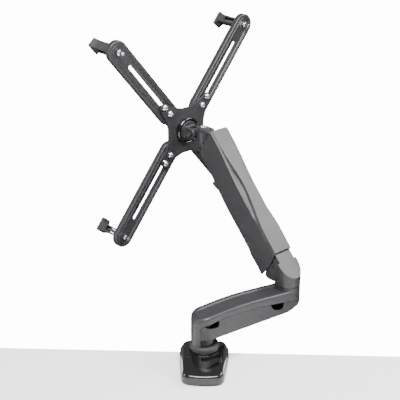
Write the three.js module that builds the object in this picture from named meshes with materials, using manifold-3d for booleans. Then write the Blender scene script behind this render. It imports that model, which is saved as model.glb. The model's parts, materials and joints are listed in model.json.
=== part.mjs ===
// A single gas-spring monitor arm on a desk clamp, with a hook-on adapter for screens that have
// no mounting holes. Millimetres, +Z up. The origin is on the desk surface, on the axis of the base
// post. +Y runs along the spring arm towards the screen, and +X runs along the screen's width.
import * as THREE from 'three';
import { mergeVertices } from 'three/addons/utils/BufferGeometryUtils.js';
import Module from 'manifold-3d';

const wasm = await Module();
wasm.setup();

// ---------------------------------------------------------------- driving dimensions
const GAP = 0.3;                 // running clearance between pieces that touch
const DEG = Math.PI / 180;

// Desk and base
const DESK_THICKNESS = 25;       // desk board gripped at rest
const BASE_FRONT = 69;           // base axis to front edge
const BASE_REAR = 29;            // base axis to rear edge
const BASE_FRONT_HALF = 33;      // half width at the front
const BASE_REAR_HALF = 40;       // half width at the rear
const BASE_HEADING = 45;         // direction of the clamp side, degrees from +X
const PAD_THICKNESS = 2;
const PLATE_THICKNESS = 5;       // steel foot plate and clamp bracket
const BODY_TOP = 14;             // top of the cast base
const COVER_TOP = 28;            // top of the domed cover
const COVER_WALL = 3;
const COVER_FALL = 11.5;         // fall of the cover towards the front edge
const RING_TOP = 38.2;           // top of the collar ring
const RING_RADIUS = 24;
const POST_RADIUS = 16.3;        // base post below the arm
const POST_NECK_RADIUS = 12;     // base post inside the arm

// Desk clamp
const FLANGE_HALF = 30;
const FLANGE_DROP = 32;
const FLANGE_SCREW_RADIUS = 3;
const BRACKET_HALF = 25;
const JAW_Z = -96;               // top of the clamp's lower jaw
const JAW_REACH = 62;            // jaw length from the flange
const CLAMP_SCREW_Y = -2;
const SPINDLE_RADIUS = 5;
const DISC_RADIUS = 20;
const KNOB_RADIUS = 21;
const KNOB_BOTTOM = -150;
const KNOB_HEIGHT = 14;

// Lower arm
const LOWER_LENGTH = 163;        // post axis to elbow axis
const LOWER_HEADING = -11.3;     // degrees from +X
const LOWER_RADIUS = 21.5;       // half width and end radius
const LOWER_TOP = 98;            // highest point of the arched back
const CHANNEL_HALF = 11;         // half width of the shallow channel along the back
const CHANNEL_DEPTH = 1.8;
const ELBOW_TOP = 98.9;          // top face of the elbow boss
const WALL = 3.5;                // casting wall
const COVER_SKIN = 2.4;          // plastic wall
const ELBOW_PIN_RADIUS = 9;
const SLEEVE_OUTER = 15.5;       // post sleeve inside the casting
const MOUTH_DROP = 12;           // depth of the half-moon cable mouths

// Elbow yoke
const YOKE_RADIUS = 21.5;
const YOKE_BOTTOM = 100.4;
const YOKE_TOP = 152;
const YOKE_CUT_Z = 139;          // height of the 45 degree back cut on the elbow axis
const FORK_HALF = 12.6;          // half width of the fork slot
const CHEEK_OUTER = 16.4;        // outer face of the pivot cheeks
const PIVOT_FORWARD = 24;        // elbow axis to main pivot
const PIVOT_Z = 136;
const PIVOT_RADIUS = 4;

// Spring arm
const ELEVATION = 48;            // degrees above level at rest
const LINK_LENGTH = 235;         // main pivot to head pivot
const LINK_DROP = { y: 3, z: -21 };      // main pivot to lower link pivot
const SPRING_FOOT = { y: -6, z: -9 };    // main pivot to gas spring foot pin
const SPRING_HEAD_AT = LINK_LENGTH - 29;  // main pivot to gas spring head pin, along the arm
const SHELL_END = LINK_LENGTH - 13;       // cover's lower head end, from the main pivot
const SHELL_HALF = 20;           // half width of the arm cover
const SHELL_END_HALF = 19.2;     // half width at its elbow end
const SHELL_SHOULDER = 15.8;     // top of the upright sides at the elbow end
const SCOOP_DEPTH = 10;          // how far the side scoops cut into the top face
const SHELL_TOP = 22;            // cover top above the pivot line
const SHELL_WALL = 2.2;
const SHELL_BOTTOM = -31;        // cover underside below the pivot line
const LINK_INNER = 9.6;          // inner half width of the upper link
const LINK_OUTER = 12.2;
const LINK_TOP = 12;             // web of the upper link above the pivot line
const LINK_END_RADIUS = 7.4;     // round the main pivot
const LINK_PIN_RADIUS = 3;
const EYE_CLEARANCE = 2.2;       // room around the foot pin in the gas spring's eye
const SPRING_RADIUS = 7.5;
const ROD_RADIUS = 4;
const EYE_RADIUS = 6.4;          // gas spring rod eye

// Head
const SWIVEL_FORWARD = 25;       // head pivot to swivel axis
const HUB_DROP = 5.6;            // head pivot down to hub centre
const TILT_FORWARD = 22;         // swivel axis to tilt axis
const SLEEVE_RADIUS = 10;
const SWIVEL_HALF_HEIGHT = 16;   // half height of the head bracket's ears
const EAR_THICKNESS = 4.5;
const HUB_RADIUS = 24;
const PLATE_BACK = 43.6;         // swivel axis to the plate's near face
const PLATE_SHEET = 3;

// Adapter
const HOLE_INNER = 37.5;         // half of the 75 mm hole pitch
const HOLE_OUTER = 50;           // half of the 100 mm hole pitch
const LOBE_RADIUS = 9;
const WAIST = 41;                // plate centre to the middle of each hollow edge
const ARM_HALF = 19;             // half width of an adapter arm
const ARM_REACH = 164;           // inner screw to the tip's round centre
const ARM_TAIL = 4;              // inner screw to the tail's round centre
const ARM_SHEET = 2.5;
const ARM_LIP = 10;              // depth of the folded rim
const ARM_PRESS = 1.5;           // depth of the pressed middle
const ARM_PRESS_HALF = 10.5;     // half width of the pressed middle
const ARM_ANGLE = 50.3;          // degrees from level
const ARM_SLOT_START = 5.5;      // slot end behind the inner screw
const ARM_SLOT_STOP = 38;        // slot end short of the tip's round centre
const SLOT_HALF = 3.3;
const SCREW_RADIUS = 2.5;
const SCREW_HEAD_RADIUS = 5.6;
const SCREW_HEAD_HEIGHT = 3.4;
const HOOK_ROD_RADIUS = 3;
const HOOK_DEPTH = 66;           // adapter arm to the far face of the claw
const CLAW_HALF = 8;             // half width of the claw
const CLAW_NECK = 6.3;           // half height of the claw beside the arm
const CLAW_FLARE = 11;           // rod to the far end's outer edge
const CLAW_LIP = 14;             // rod to the far end's inner edge
const SCREW_SPREAD = 14;         // swing of the outer screw's slot each way, degrees

// ---------------------------------------------------------------- materials
const painted = (colour, roughness, metalness) =>
  new THREE.MeshStandardMaterial({ color: colour, roughness, metalness });
const satinBlack = painted(0x1c1d1f, 0.45, 0.3);
const mattePlastic = painted(0x222325, 0.6, 0);
const glossPlastic = painted(0x0a0b0c, 0.12, 0);
const steel = painted(0xc9ccd0, 0.3, 0.95);
const blackSteel = painted(0x18191b, 0.5, 0.6);
const rubber = painted(0x141414, 0.9, 0);

// ---------------------------------------------------------------- solids
function solid(geometry) {
  const bare = geometry.clone();
  bare.deleteAttribute('normal');
  bare.deleteAttribute('uv');
  const merged = mergeVertices(bare, 1e-4);
  return new wasm.Manifold(new wasm.Mesh({
    numProp: 3,
    vertProperties: new Float32Array(merged.attributes.position.array),
    triVerts: new Uint32Array(merged.index.array),
  }));
}

function geometryOf(body) {
  const mesh = body.getMesh();
  const geometry = new THREE.BufferGeometry();
  geometry.setAttribute('position', new THREE.BufferAttribute(mesh.vertProperties, 3));
  geometry.setIndex(new THREE.BufferAttribute(mesh.triVerts, 1));
  geometry.computeVertexNormals();
  return geometry;
}

// Turns a shape drawn in two axes, pushed along the third, into its place.
const FACING = {
  z: (from) => new THREE.Matrix4().makeTranslation(0, 0, from),
  x: (from) => new THREE.Matrix4().set(0, 0, 1, from, 1, 0, 0, 0, 0, 1, 0, 0, 0, 0, 0, 1),
  y: (from, to) => new THREE.Matrix4().set(1, 0, 0, 0, 0, 0, -1, to, 0, 1, 0, 0, 0, 0, 0, 1),
};

// A shape pushed along an axis: in (x, y) for z, (y, z) for x, (x, z) for y.
function prism(shape, axis, from, to, curveSegments = 5) {
  const geometry = new THREE.ExtrudeGeometry(shape, {
    depth: to - from, bevelEnabled: false, curveSegments,
  });
  return solid(geometry.applyMatrix4(FACING[axis](from, to)));
}

function disc(radius, u = 0, v = 0) {
  const shape = new THREE.Shape();
  shape.absarc(u, v, radius, 0, 2 * Math.PI, false);
  return shape;
}

// Facets on a round part, more on a larger one.
const sidesFor = (radius) => Math.max(12, 4 * Math.round(1.9 * Math.sqrt(radius)));

function cylinder(axis, radius, from, to, u = 0, v = 0) {
  return prism(disc(radius, u, v), axis, from, to, sidesFor(radius) / 2);
}

function block(x0, x1, y0, y1, z0, z1) {
  const geometry = new THREE.BoxGeometry(x1 - x0, y1 - y0, z1 - z0);
  return solid(geometry.translate((x0 + x1) / 2, (y0 + y1) / 2, (z0 + z1) / 2));
}

function outline(points) {
  return new THREE.Shape(points.map(([u, v]) => new THREE.Vector2(u, v)));
}

// A strip with round ends between two centres.
function stadium(u0, v0, u1, v1, radius) {
  const angle = Math.atan2(v1 - v0, u1 - u0);
  const shape = new THREE.Shape();
  shape.absarc(u1, v1, radius, angle - Math.PI / 2, angle + Math.PI / 2, false);
  shape.absarc(u0, v0, radius, angle + Math.PI / 2, angle + 1.5 * Math.PI, false);
  return shape;
}

// A turned solid about an upright axis, from (radius, height) points.
function turned(points) {
  const profile = points.map(([r, z]) => new THREE.Vector2(r, z));
  const sides = sidesFor(Math.max(...points.map(([r]) => r)));
  return solid(new THREE.LatheGeometry(profile, sides).rotateX(Math.PI / 2));
}

// Joins rings of points, each the same number, into one closed skin.
function loft(rings) {
  const count = rings[0].length;
  const positions = rings.flat().flatMap((p) => [p.x, p.y, p.z]);
  const index = [];
  for (let ring = 0; ring + 1 < rings.length; ring += 1) {
    for (let i = 0; i < count; i += 1) {
      const a = ring * count + i;
      const b = ring * count + ((i + 1) % count);
      index.push(a, b, b + count, a, b + count, a + count);
    }
  }
  const start = positions.length / 3;
  const last = (rings.length - 1) * count;
  for (const ring of [rings[0], rings[rings.length - 1]]) {
    const centre = ring.reduce((sum, p) => sum.add(p), new THREE.Vector3()).divideScalar(count);
    positions.push(centre.x, centre.y, centre.z);
  }
  for (let i = 0; i < count; i += 1) {
    const next = (i + 1) % count;
    index.push(start, next, i, start + 1, last + i, last + next);
  }
  const geometry = new THREE.BufferGeometry();
  geometry.setAttribute('position', new THREE.Float32BufferAttribute(positions, 3));
  geometry.setIndex(index);
  return solid(geometry);
}

function piece(parent, name, body, material) {
  const mesh = new THREE.Mesh(geometryOf(body), material);
  mesh.name = name;
  parent.add(mesh);
  return mesh;
}

function group(parent, x, y, z, turn = {}) {
  const made = new THREE.Group();
  made.position.set(x, y, z);
  made.rotation.set(turn.x ?? 0, turn.y ?? 0, turn.z ?? 0);
  parent.add(made);
  return made;
}

const monitorArm = new THREE.Group();
monitorArm.name = 'monitor_arm';

// ---------------------------------------------------------------- base
// In the base group the clamp side is +Y.
const base = group(monitorArm, 0, 0, 0, { z: (BASE_HEADING - 90) * DEG });

// The footprint: a rounded trapezoid, a little wider at the rear.
function footprint(inset) {
  const front = -BASE_FRONT + inset;
  const rear = BASE_REAR - inset;
  const nearHalf = BASE_FRONT_HALF - inset;
  const farHalf = BASE_REAR_HALF - inset;
  const corner = Math.max(16 - inset, 4);
  const shape = new THREE.Shape();
  shape.moveTo(-nearHalf + corner, front);
  shape.quadraticCurveTo(0, front - 2.5, nearHalf - corner, front);
  shape.quadraticCurveTo(nearHalf, front, nearHalf + 1, front + corner);
  shape.quadraticCurveTo(farHalf, 0, farHalf, rear - corner);
  shape.quadraticCurveTo(farHalf, rear, farHalf - corner, rear);
  shape.lineTo(-farHalf + corner, rear);
  shape.quadraticCurveTo(-farHalf, rear, -farHalf, rear - corner);
  shape.quadraticCurveTo(-farHalf, 0, -nearHalf - 1, front + corner);
  shape.quadraticCurveTo(-nearHalf, front, -nearHalf + corner, front);
  return shape;
}

function footprintRing(inset, height, frontInset = inset) {
  return footprint(inset).getPoints(4).slice(0, -1).map((p) => {
    const toFront = Math.max(0, Math.min(1, (-p.y - 10) / 50));
    return new THREE.Vector3(p.x, p.y + (frontInset - inset) * toFront, height);
  });
}

function buildBase() {
  piece(base, 'base_pad', prism(footprint(3), 'z', 0, PAD_THICKNESS), rubber);

  const plateTop = PAD_THICKNESS + GAP + PLATE_THICKNESS;
  const flangeY = BASE_REAR + 1;
  const footPlate = prism(footprint(7), 'z', PAD_THICKNESS + GAP, plateTop)
    .add(block(-FLANGE_HALF, FLANGE_HALF, 10, flangeY, PAD_THICKNESS + GAP, plateTop))
    .add(block(-FLANGE_HALF, FLANGE_HALF, flangeY - 1, flangeY + PLATE_THICKNESS, -FLANGE_DROP, plateTop));
  const screwXs = [-14, 14];
  const screwZ = -20;
  const flangeHoles = screwXs.map((x) =>
    cylinder('y', FLANGE_SCREW_RADIUS + GAP, flangeY - 5, flangeY + 20, x, screwZ));
  piece(base, 'base_plate', flangeHoles.reduce((body, hole) => body.subtract(hole), footPlate), blackSteel);

  const pocket = prism(footprint(7 - GAP), 'z', 0, plateTop + GAP)
    .add(block(-FLANGE_HALF - GAP, FLANGE_HALF + GAP, 10, BASE_REAR + 9, 0, plateTop + GAP));
  const body = prism(footprint(0), 'z', PAD_THICKNESS + GAP, BODY_TOP)
    .subtract(pocket)
    .subtract(cylinder('z', RING_RADIUS, 0, BODY_TOP + 1));
  piece(base, 'base_body', body, satinBlack);

  // The cover is level round the collar and falls in one plane towards the front edge.
  const coverRing = (inset, height, sink = 0, frontInset = inset) =>
    footprintRing(inset, height, frontInset).map((p) => {
      const forward = Math.max(0, -p.y - RING_RADIUS);
      const plane = COVER_TOP - sink - COVER_FALL * forward / (BASE_FRONT - RING_RADIUS);
      return p.setZ(Math.min(height, plane));
    });
  const dome = loft([
    coverRing(0.8, BODY_TOP + GAP), coverRing(1.5, BODY_TOP + 4),
    coverRing(4, BODY_TOP + 9), coverRing(8, COVER_TOP - 1.5), coverRing(12, COVER_TOP),
  ]);
  const frontWall = 12;
  const innerRing = (inset, height) =>
    coverRing(inset + COVER_WALL, height, COVER_WALL, inset + COVER_WALL + frontWall);
  const hollow = loft([
    innerRing(0.8, BODY_TOP), innerRing(1.5, BODY_TOP + 1.5),
    innerRing(4, BODY_TOP + 5), innerRing(8, COVER_TOP - COVER_WALL - 2),
    innerRing(12, COVER_TOP - COVER_WALL),
  ]);
  const cover = dome.subtract(hollow).subtract(cylinder('z', POST_RADIUS + GAP, 0, 60));
  piece(base, 'base_cover', cover, glossPlastic);

  const ring = turned([
    [POST_RADIUS + GAP, COVER_TOP + GAP], [RING_RADIUS, COVER_TOP + GAP],
    [RING_RADIUS, COVER_TOP + 6], [RING_RADIUS - 1.4, RING_TOP],
    [POST_RADIUS + GAP, RING_TOP], [POST_RADIUS + GAP, COVER_TOP + GAP],
  ]);
  piece(base, 'collar_ring', ring, mattePlastic);

  const neckBottom = 54;
  const neckTop = 86;
  const post = turned([
    [0, plateTop + GAP], [22, plateTop + GAP], [22, plateTop + 5], [POST_RADIUS, plateTop + 5],
    [POST_RADIUS, neckBottom], [POST_NECK_RADIUS, neckBottom], [POST_NECK_RADIUS, neckTop], [0, neckTop],
  ]);
  piece(base, 'base_post', post, blackSteel);

  return { flangeY, screwXs, screwZ, neckBottom, neckTop };
}

function buildClamp(flangeY, screwXs, screwZ) {
  const legFront = flangeY + PLATE_THICKNESS + GAP;
  const legBack = legFront + PLATE_THICKNESS;
  const jawBottom = JAW_Z - PLATE_THICKNESS;
  const jawFront = legBack - JAW_REACH;
  const jawRound = 12;
  const jawCorner = BRACKET_HALF - jawRound;
  const nutBottom = jawBottom - 9;
  const bossRadius = 11;
  const holes = screwXs.flatMap((x) => [0, -28].map((drop) =>
    cylinder('y', FLANGE_SCREW_RADIUS + GAP, legFront - 5, legBack + 5, x, screwZ + drop)));
  const bracket = block(-BRACKET_HALF, BRACKET_HALF, legFront, legBack, jawBottom, -8)
    .add(block(-BRACKET_HALF, BRACKET_HALF, jawFront + jawRound, legBack, jawBottom, JAW_Z))
    .add(prism(stadium(-jawCorner, jawFront + jawRound, jawCorner, jawFront + jawRound, jawRound),
      'z', jawBottom, JAW_Z))
    .add(cylinder('z', bossRadius, nutBottom, JAW_Z, 0, CLAMP_SCREW_Y))
    .subtract(cylinder('z', SPINDLE_RADIUS + GAP, nutBottom - 1, JAW_Z + 1, 0, CLAMP_SCREW_Y));
  piece(base, 'clamp_bracket', holes.reduce((body, hole) => body.subtract(hole), bracket), satinBlack);

  screwXs.forEach((x, i) => {
    const screw = cylinder('y', FLANGE_SCREW_RADIUS, flangeY - 1, legBack + GAP, x, screwZ)
      .add(cylinder('y', 5.5, legBack + GAP, legBack + 3.6, x, screwZ))
      .subtract(prism(outline(hexagon(2, x, screwZ)), 'y', legBack + 1.6, legBack + 5));
    piece(base, `bracket_screw_${i + 1}`, screw, steel);
  });

  const discTop = -DESK_THICKNESS - GAP;
  const padBottom = discTop - 2;
  const plate = cylinder('z', DISC_RADIUS, padBottom - 3.3, discTop, 0, CLAMP_SCREW_Y)
    .add(cylinder('z', 9, padBottom - 9, padBottom - 3.2, 0, CLAMP_SCREW_Y))
    .subtract(cylinder('z', SPINDLE_RADIUS + GAP, padBottom - 10, padBottom - 3, 0, CLAMP_SCREW_Y));
  piece(base, 'clamp_disc', plate, steel);

  const knobTop = KNOB_BOTTOM + KNOB_HEIGHT;
  piece(base, 'clamp_screw',
    cylinder('z', SPINDLE_RADIUS, knobTop - 8, padBottom - 3 - GAP, 0, CLAMP_SCREW_Y), steel);
  const lobes = [0, 1, 2, 3, 4].map((i) => {
    const angle = i * 72 * DEG;
    const reach = KNOB_RADIUS + 5;
    return cylinder('z', 8, KNOB_BOTTOM - 1, knobTop + 1,
      Math.cos(angle) * reach, CLAMP_SCREW_Y + Math.sin(angle) * reach);
  });
  const knob = lobes.reduce((body, lobe) => body.subtract(lobe),
    cylinder('z', KNOB_RADIUS, KNOB_BOTTOM, knobTop, 0, CLAMP_SCREW_Y))
    .subtract(cylinder('z', SPINDLE_RADIUS + GAP, knobTop - 8 - GAP, knobTop + 1, 0, CLAMP_SCREW_Y));
  piece(base, 'clamp_knob', knob, mattePlastic);
}

function hexagon(radius, u, v) {
  return [0, 1, 2, 3, 4, 5].map((i) =>
    [u + radius * Math.cos(i * 60 * DEG), v + radius * Math.sin(i * 60 * DEG)]);
}

const { flangeY, screwXs, screwZ, neckBottom, neckTop } = buildBase();
buildClamp(flangeY, screwXs, screwZ);

// ---------------------------------------------------------------- lower arm
// In this group +X runs along the arm from the post to the elbow.
const lowerArm = group(monitorArm, 0, 0, 0, { z: LOWER_HEADING * DEG });
const L = LOWER_LENGTH;
const R = LOWER_RADIUS;

// Heights along the arm: the arched back, the arched joint line and the underside.
const backCurve = new THREE.SplineCurve([
  [-R, 84], [-12, 91], [15, 95], [50, 97.6], [80, LOWER_TOP], [120, 96.4], [L - 18, 95],
].map(([x, z]) => new THREE.Vector2(x, z)));
const jointCurve = new THREE.SplineCurve([
  [-R, 75], [-6, 79.4], [18, 83.6], [54, 85.8], [90, 84.6], [125, 80.5], [L + R, 73.5],
].map(([x, z]) => new THREE.Vector2(x, z)));
const jointLine = jointCurve.getPoints(14).map((p) => [p.x, p.y]);

// Height of the joint line at a distance along the arm.
function jointAt(x) {
  const after = jointLine.findIndex((p) => p[0] >= x);
  const [x0, z0] = jointLine[after - 1];
  const [x1, z1] = jointLine[after];
  return z0 + (z1 - z0) * (x - x0) / (x1 - x0);
}

function buildLowerArm() {
  const under = 51;
  const underElbow = 57;
  const corner = 14;
  const plan = prism(stadium(0, 0, L, 0, R), 'z', 20, 120, 9);
  const innerPlan = prism(stadium(0, 0, L, 0, R - WALL), 'z', 20, 120, 8);
  const back = backCurve.getPoints(12).map((p) => [p.x, p.y]);
  const above = (offset) => prism(outline([
    [-R - 1, 130], [L + R + 1, 130],
    ...jointLine.slice().reverse().map(([x, z]) => [x, z + offset]),
  ].map(([x, z], i, all) => (i === 2 ? [L + R + 1, z] : i === all.length - 1 ? [-R - 1, z] : [x, z]))),
  'y', -R - 1, R + 1);

  const backSolid = prism(outline([
    ...back, [L + R + 1, 95], [L + R + 1, 20], [-R - 1, 20],
  ].map(([x, z], i) => (i === 0 ? [-R - 1, z] : [x, z]))), 'y', -R - 1, R + 1);

  const boss = cylinder('z', R - 0.1, 90, ELBOW_TOP, L, 0);
  const full = plan.intersect(backSolid);
  const casting = full.add(boss).intersect(above(GAP));
  const roof = WALL + CHANNEL_DEPTH * 0.7;
  const cavity = innerPlan.intersect(prism(outline([
    [-R, 20], [-R, 78], ...back.slice(1).map(([x, z]) => [x, z - roof]),
    [L + R, 91 - roof + WALL], [L + R, 20],
  ]), 'y', -R, R));
  // The shallow channel pressed along the back, between two rounded rims.
  const channel = prism(stadium(2, 0, L - R - CHANNEL_HALF - 3, 0, CHANNEL_HALF), 'z', 60, 130, 8)
    .subtract(prism(outline([
      ...back.map(([x, z]) => [x, z - CHANNEL_DEPTH]), [L, 20], [-R, 20],
    ]), 'y', -R, R));
  const postSleeve = cylinder('z', SLEEVE_OUTER, neckBottom + GAP, 95, 0, 0);
  const elbowSleeve = cylinder('z', ELBOW_PIN_RADIUS + 4, 64, ELBOW_TOP, L, 0);
  const skirt = cylinder('z', R, RING_TOP + GAP, 80, 0, 0)
    .subtract(cylinder('z', POST_RADIUS + GAP, 20, 90, 0, 0))
    .intersect(block(-R - 1, -R * 0.72, -R - 1, R + 1, 20, 90));
  const rib = block(POST_NECK_RADIUS + 4, L - ELBOW_PIN_RADIUS - 2, -1.5, 1.5, 80, 90);
  const arm = casting.subtract(cavity).subtract(channel)
    .add(skirt).add(postSleeve.intersect(full)).add(elbowSleeve).add(rib)
    .subtract(cylinder('z', POST_NECK_RADIUS + GAP, 20, neckTop + 1, 0, 0))
    .subtract(cylinder('z', ELBOW_PIN_RADIUS + GAP, 50, 120, L, 0));
  piece(lowerArm, 'lower_arm', arm, satinBlack);

  // The plastic channel under the casting, with its two half-moon cable mouths on each side.
  const side = new THREE.Shape();
  side.moveTo(-R * 0.72 + GAP, 120);
  side.lineTo(-R * 0.72 + GAP, under);
  side.lineTo(L, underElbow);
  side.quadraticCurveTo(L + R, underElbow, L + R + 1, underElbow + corner + 4);
  side.lineTo(L + R + 1, 120);
  const below = prism(outline([
    [-R - 1, 20], [-R - 1, jointLine[0][1]], ...jointLine, [L + R + 1, jointLine[14][1]], [L + R + 1, 20],
  ]), 'y', -R - 1, R + 1);
  const skin = plan.intersect(prism(side, 'y', -R - 1, R + 1)).intersect(below);
  const inside = new THREE.Shape();
  inside.moveTo(-R, 120);
  inside.lineTo(-R, under + COVER_SKIN);
  inside.lineTo(L, underElbow + COVER_SKIN);
  inside.quadraticCurveTo(L + R - COVER_SKIN, underElbow + COVER_SKIN,
    L + R - COVER_SKIN, underElbow + corner + 4);
  inside.lineTo(L + R - COVER_SKIN, 120);
  const hollow = prism(stadium(0, 0, L, 0, R - COVER_SKIN), 'z', 20, 120, 8)
    .intersect(prism(inside, 'y', -R - 1, R + 1));
  const mouths = [[-10, 15], [L - 48, L - 22]].map(([from, to]) => {
    const mouth = new THREE.Shape();
    const top = Math.max(...jointLine.map((p) => p[1])) + 3;
    const floor = jointAt(to) - MOUTH_DROP;
    mouth.moveTo(from, top);
    mouth.lineTo(from, jointAt(from));
    mouth.quadraticCurveTo(from + 5, floor, to - 5, floor);
    mouth.quadraticCurveTo(to, floor, to, floor + 5);
    mouth.lineTo(to, top);
    return prism(mouth, 'y', -R - 1, R + 1);
  });
  const lowerCover = mouths.reduce((body, mouth) => body.subtract(mouth), skin.subtract(hollow))
    .subtract(cylinder('z', POST_RADIUS + GAP, 20, 90, 0, 0))
    .subtract(cylinder('z', SLEEVE_OUTER + GAP, 53, 99, 0, 0));
  piece(lowerArm, 'lower_cable_cover', lowerCover, mattePlastic);

  // The elbow pin stands in the casting, and the yoke turns on it over a plastic washer.
  const pin = cylinder('z', ELBOW_PIN_RADIUS, 66, YOKE_BOTTOM + 10, L, 0)
    .add(cylinder('z', ELBOW_PIN_RADIUS + 1.8, 61.9, 64 - GAP, L, 0))
    .add(cylinder('z', ELBOW_PIN_RADIUS - 1, 63, 67, L, 0));
  piece(lowerArm, 'elbow_pin', pin, steel);
  const washer = cylinder('z', R - 0.8, ELBOW_TOP + GAP, YOKE_BOTTOM - GAP, L, 0)
    .subtract(cylinder('z', ELBOW_PIN_RADIUS + GAP, 90, 120, L, 0));
  piece(lowerArm, 'elbow_washer', washer, mattePlastic);
}
buildLowerArm();

// ---------------------------------------------------------------- elbow yoke
const elbowX = L * Math.cos(LOWER_HEADING * DEG);
const elbowY = L * Math.sin(LOWER_HEADING * DEG);
const elbow = group(monitorArm, elbowX, elbowY, 0);

function buildElbow() {
  const noseFront = PIVOT_FORWARD + 9.5;
  const barrel = cylinder('z', YOKE_RADIUS, YOKE_BOTTOM, YOKE_TOP, 0, 0);
  const backCut = prism(outline([
    [-YOKE_RADIUS - 1, YOKE_CUT_Z - YOKE_RADIUS - 1], [YOKE_RADIUS + 1, YOKE_CUT_Z + YOKE_RADIUS + 1],
    [-YOKE_RADIUS - 1, YOKE_CUT_Z + YOKE_RADIUS + 1],
  ]), 'x', -YOKE_RADIUS - 1, YOKE_RADIUS + 1);
  const nose = new THREE.Shape();
  nose.moveTo(0, YOKE_BOTTOM + 2);
  nose.lineTo(PIVOT_FORWARD + LINK_DROP.y + 2, YOKE_BOTTOM + 2);
  nose.quadraticCurveTo(noseFront + 3, YOKE_BOTTOM + 3, noseFront + 1, PIVOT_Z + LINK_DROP.z + 4);
  nose.lineTo(noseFront, PIVOT_Z);
  nose.absarc(PIVOT_FORWARD, PIVOT_Z, 9.5, 0, Math.PI / 2, false);
  nose.lineTo(0, PIVOT_Z + 9.5);
  const cheeks = prism(nose, 'x', -CHEEK_OUTER, CHEEK_OUTER);
  const footY = PIVOT_FORWARD + SPRING_FOOT.y;
  const footZ = PIVOT_Z + SPRING_FOOT.z;
  const slot = block(-FORK_HALF, FORK_HALF, footY - EYE_RADIUS - 1.4, 60, YOKE_BOTTOM + 4,
    footZ + EYE_RADIUS + 1.4)
    .add(block(-FORK_HALF, FORK_HALF, PIVOT_FORWARD - 9, 60, YOKE_BOTTOM + 4, YOKE_TOP + 20));
  const relief = [-1, 1].map((side) => block(
    Math.min(side * (CHEEK_OUTER + 0.5), side * 40), Math.max(side * (CHEEK_OUTER + 0.5), side * 40),
    3, 40, YOKE_BOTTOM + 2.6, 170));
  const pivotHole = cylinder('x', PIVOT_RADIUS + GAP, -40, 40, PIVOT_FORWARD, PIVOT_Z);
  const linkHole = cylinder('x', LINK_PIN_RADIUS + GAP, -40, 40,
    PIVOT_FORWARD + LINK_DROP.y, PIVOT_Z + LINK_DROP.z);
  const footHole = cylinder('x', LINK_PIN_RADIUS + GAP, -CHEEK_OUTER - 9, CHEEK_OUTER + 9, footY, footZ);
  const yoke = barrel.add(cheeks).subtract(backCut).subtract(slot)
    .subtract(relief[0]).subtract(relief[1])
    .subtract(pivotHole).subtract(linkHole).subtract(footHole)
    .subtract(cylinder('z', ELBOW_PIN_RADIUS + GAP, 90, YOKE_BOTTOM + 11, 0, 0));
  piece(elbow, 'elbow_yoke', yoke, satinBlack);

  [-1, 1].forEach((side) => {
    const from = side * (LINK_INNER + 0.1);
    const to = side * CHEEK_OUTER;
    const stub = cylinder('x', PIVOT_RADIUS, Math.min(from, to), Math.max(from, to), PIVOT_FORWARD, PIVOT_Z);
    piece(elbow, side < 0 ? 'main_pivot_pin_left' : 'main_pivot_pin_right', stub, blackSteel);
  });
  piece(elbow, 'lower_link_pin', cylinder('x', LINK_PIN_RADIUS, -CHEEK_OUTER, CHEEK_OUTER,
    PIVOT_FORWARD + LINK_DROP.y, PIVOT_Z + LINK_DROP.z), blackSteel);
  piece(elbow, 'spring_foot_pin',
    cylinder('x', LINK_PIN_RADIUS, -CHEEK_OUTER, CHEEK_OUTER, footY, footZ), blackSteel);
}
buildElbow();

// ---------------------------------------------------------------- spring arm
// In these groups +Y runs along the arm and +Z away from its underside.
const mainPivotY = elbowY + PIVOT_FORWARD;
const springArm = group(monitorArm, elbowX, mainPivotY, PIVOT_Z, { x: ELEVATION * DEG });
const lowerLinkArm = group(monitorArm, elbowX, mainPivotY + LINK_DROP.y, PIVOT_Z + LINK_DROP.z,
  { x: ELEVATION * DEG });

const smooth = (t) => {
  const u = Math.max(0, Math.min(1, t));
  return u * u * (3 - 2 * u);
};
// How far the long side scoops cut in at a place along the arm, from 0 to 1.
const scoop = (s) => smooth((s - 36) / 88) - 0.72 * smooth((s - 124) / 80);
const shellHalf = (s) => SHELL_END_HALF + (SHELL_HALF - SHELL_END_HALF) * smooth((s - 17.6) / 19.4);
const shellShoulder = (s) => SHELL_SHOULDER + 4.8 * smooth((s - 125) / 80);
const shellUnder = (s) => SHELL_BOTTOM - 2.4 * (1 - smooth((s - 41) / 7))
  - 1.6 * Math.sin(Math.PI * smooth((s - 50) / 160))
  + 3 * smooth((s - 120) / 90);

function shellRing(s, inset) {
  const half = shellHalf(s) - inset;
  const top = SHELL_TOP - inset;
  const shoulder = shellShoulder(s) - 0.9 * inset;
  const flat = SHELL_END_HALF - 0.2 - 0.8 * inset - SCOOP_DEPTH * scoop(s);
  const under = inset > 0 ? SHELL_BOTTOM - 20 : shellUnder(s);
  return [[-half, under], [half, under], [half, shoulder], [flat, top], [-flat, top], [-half, shoulder]]
    .map(([x, z]) => new THREE.Vector3(x, s, z)).reverse();
}

function shellSkin(from, to, inset) {
  const middle = [17.6, 37, 41, 48, 60];
  for (let s = 75; s < SHELL_END; s += 15) middle.push(s);
  return loft([from, ...middle, to].map((s) => shellRing(s, inset)));
}

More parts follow.
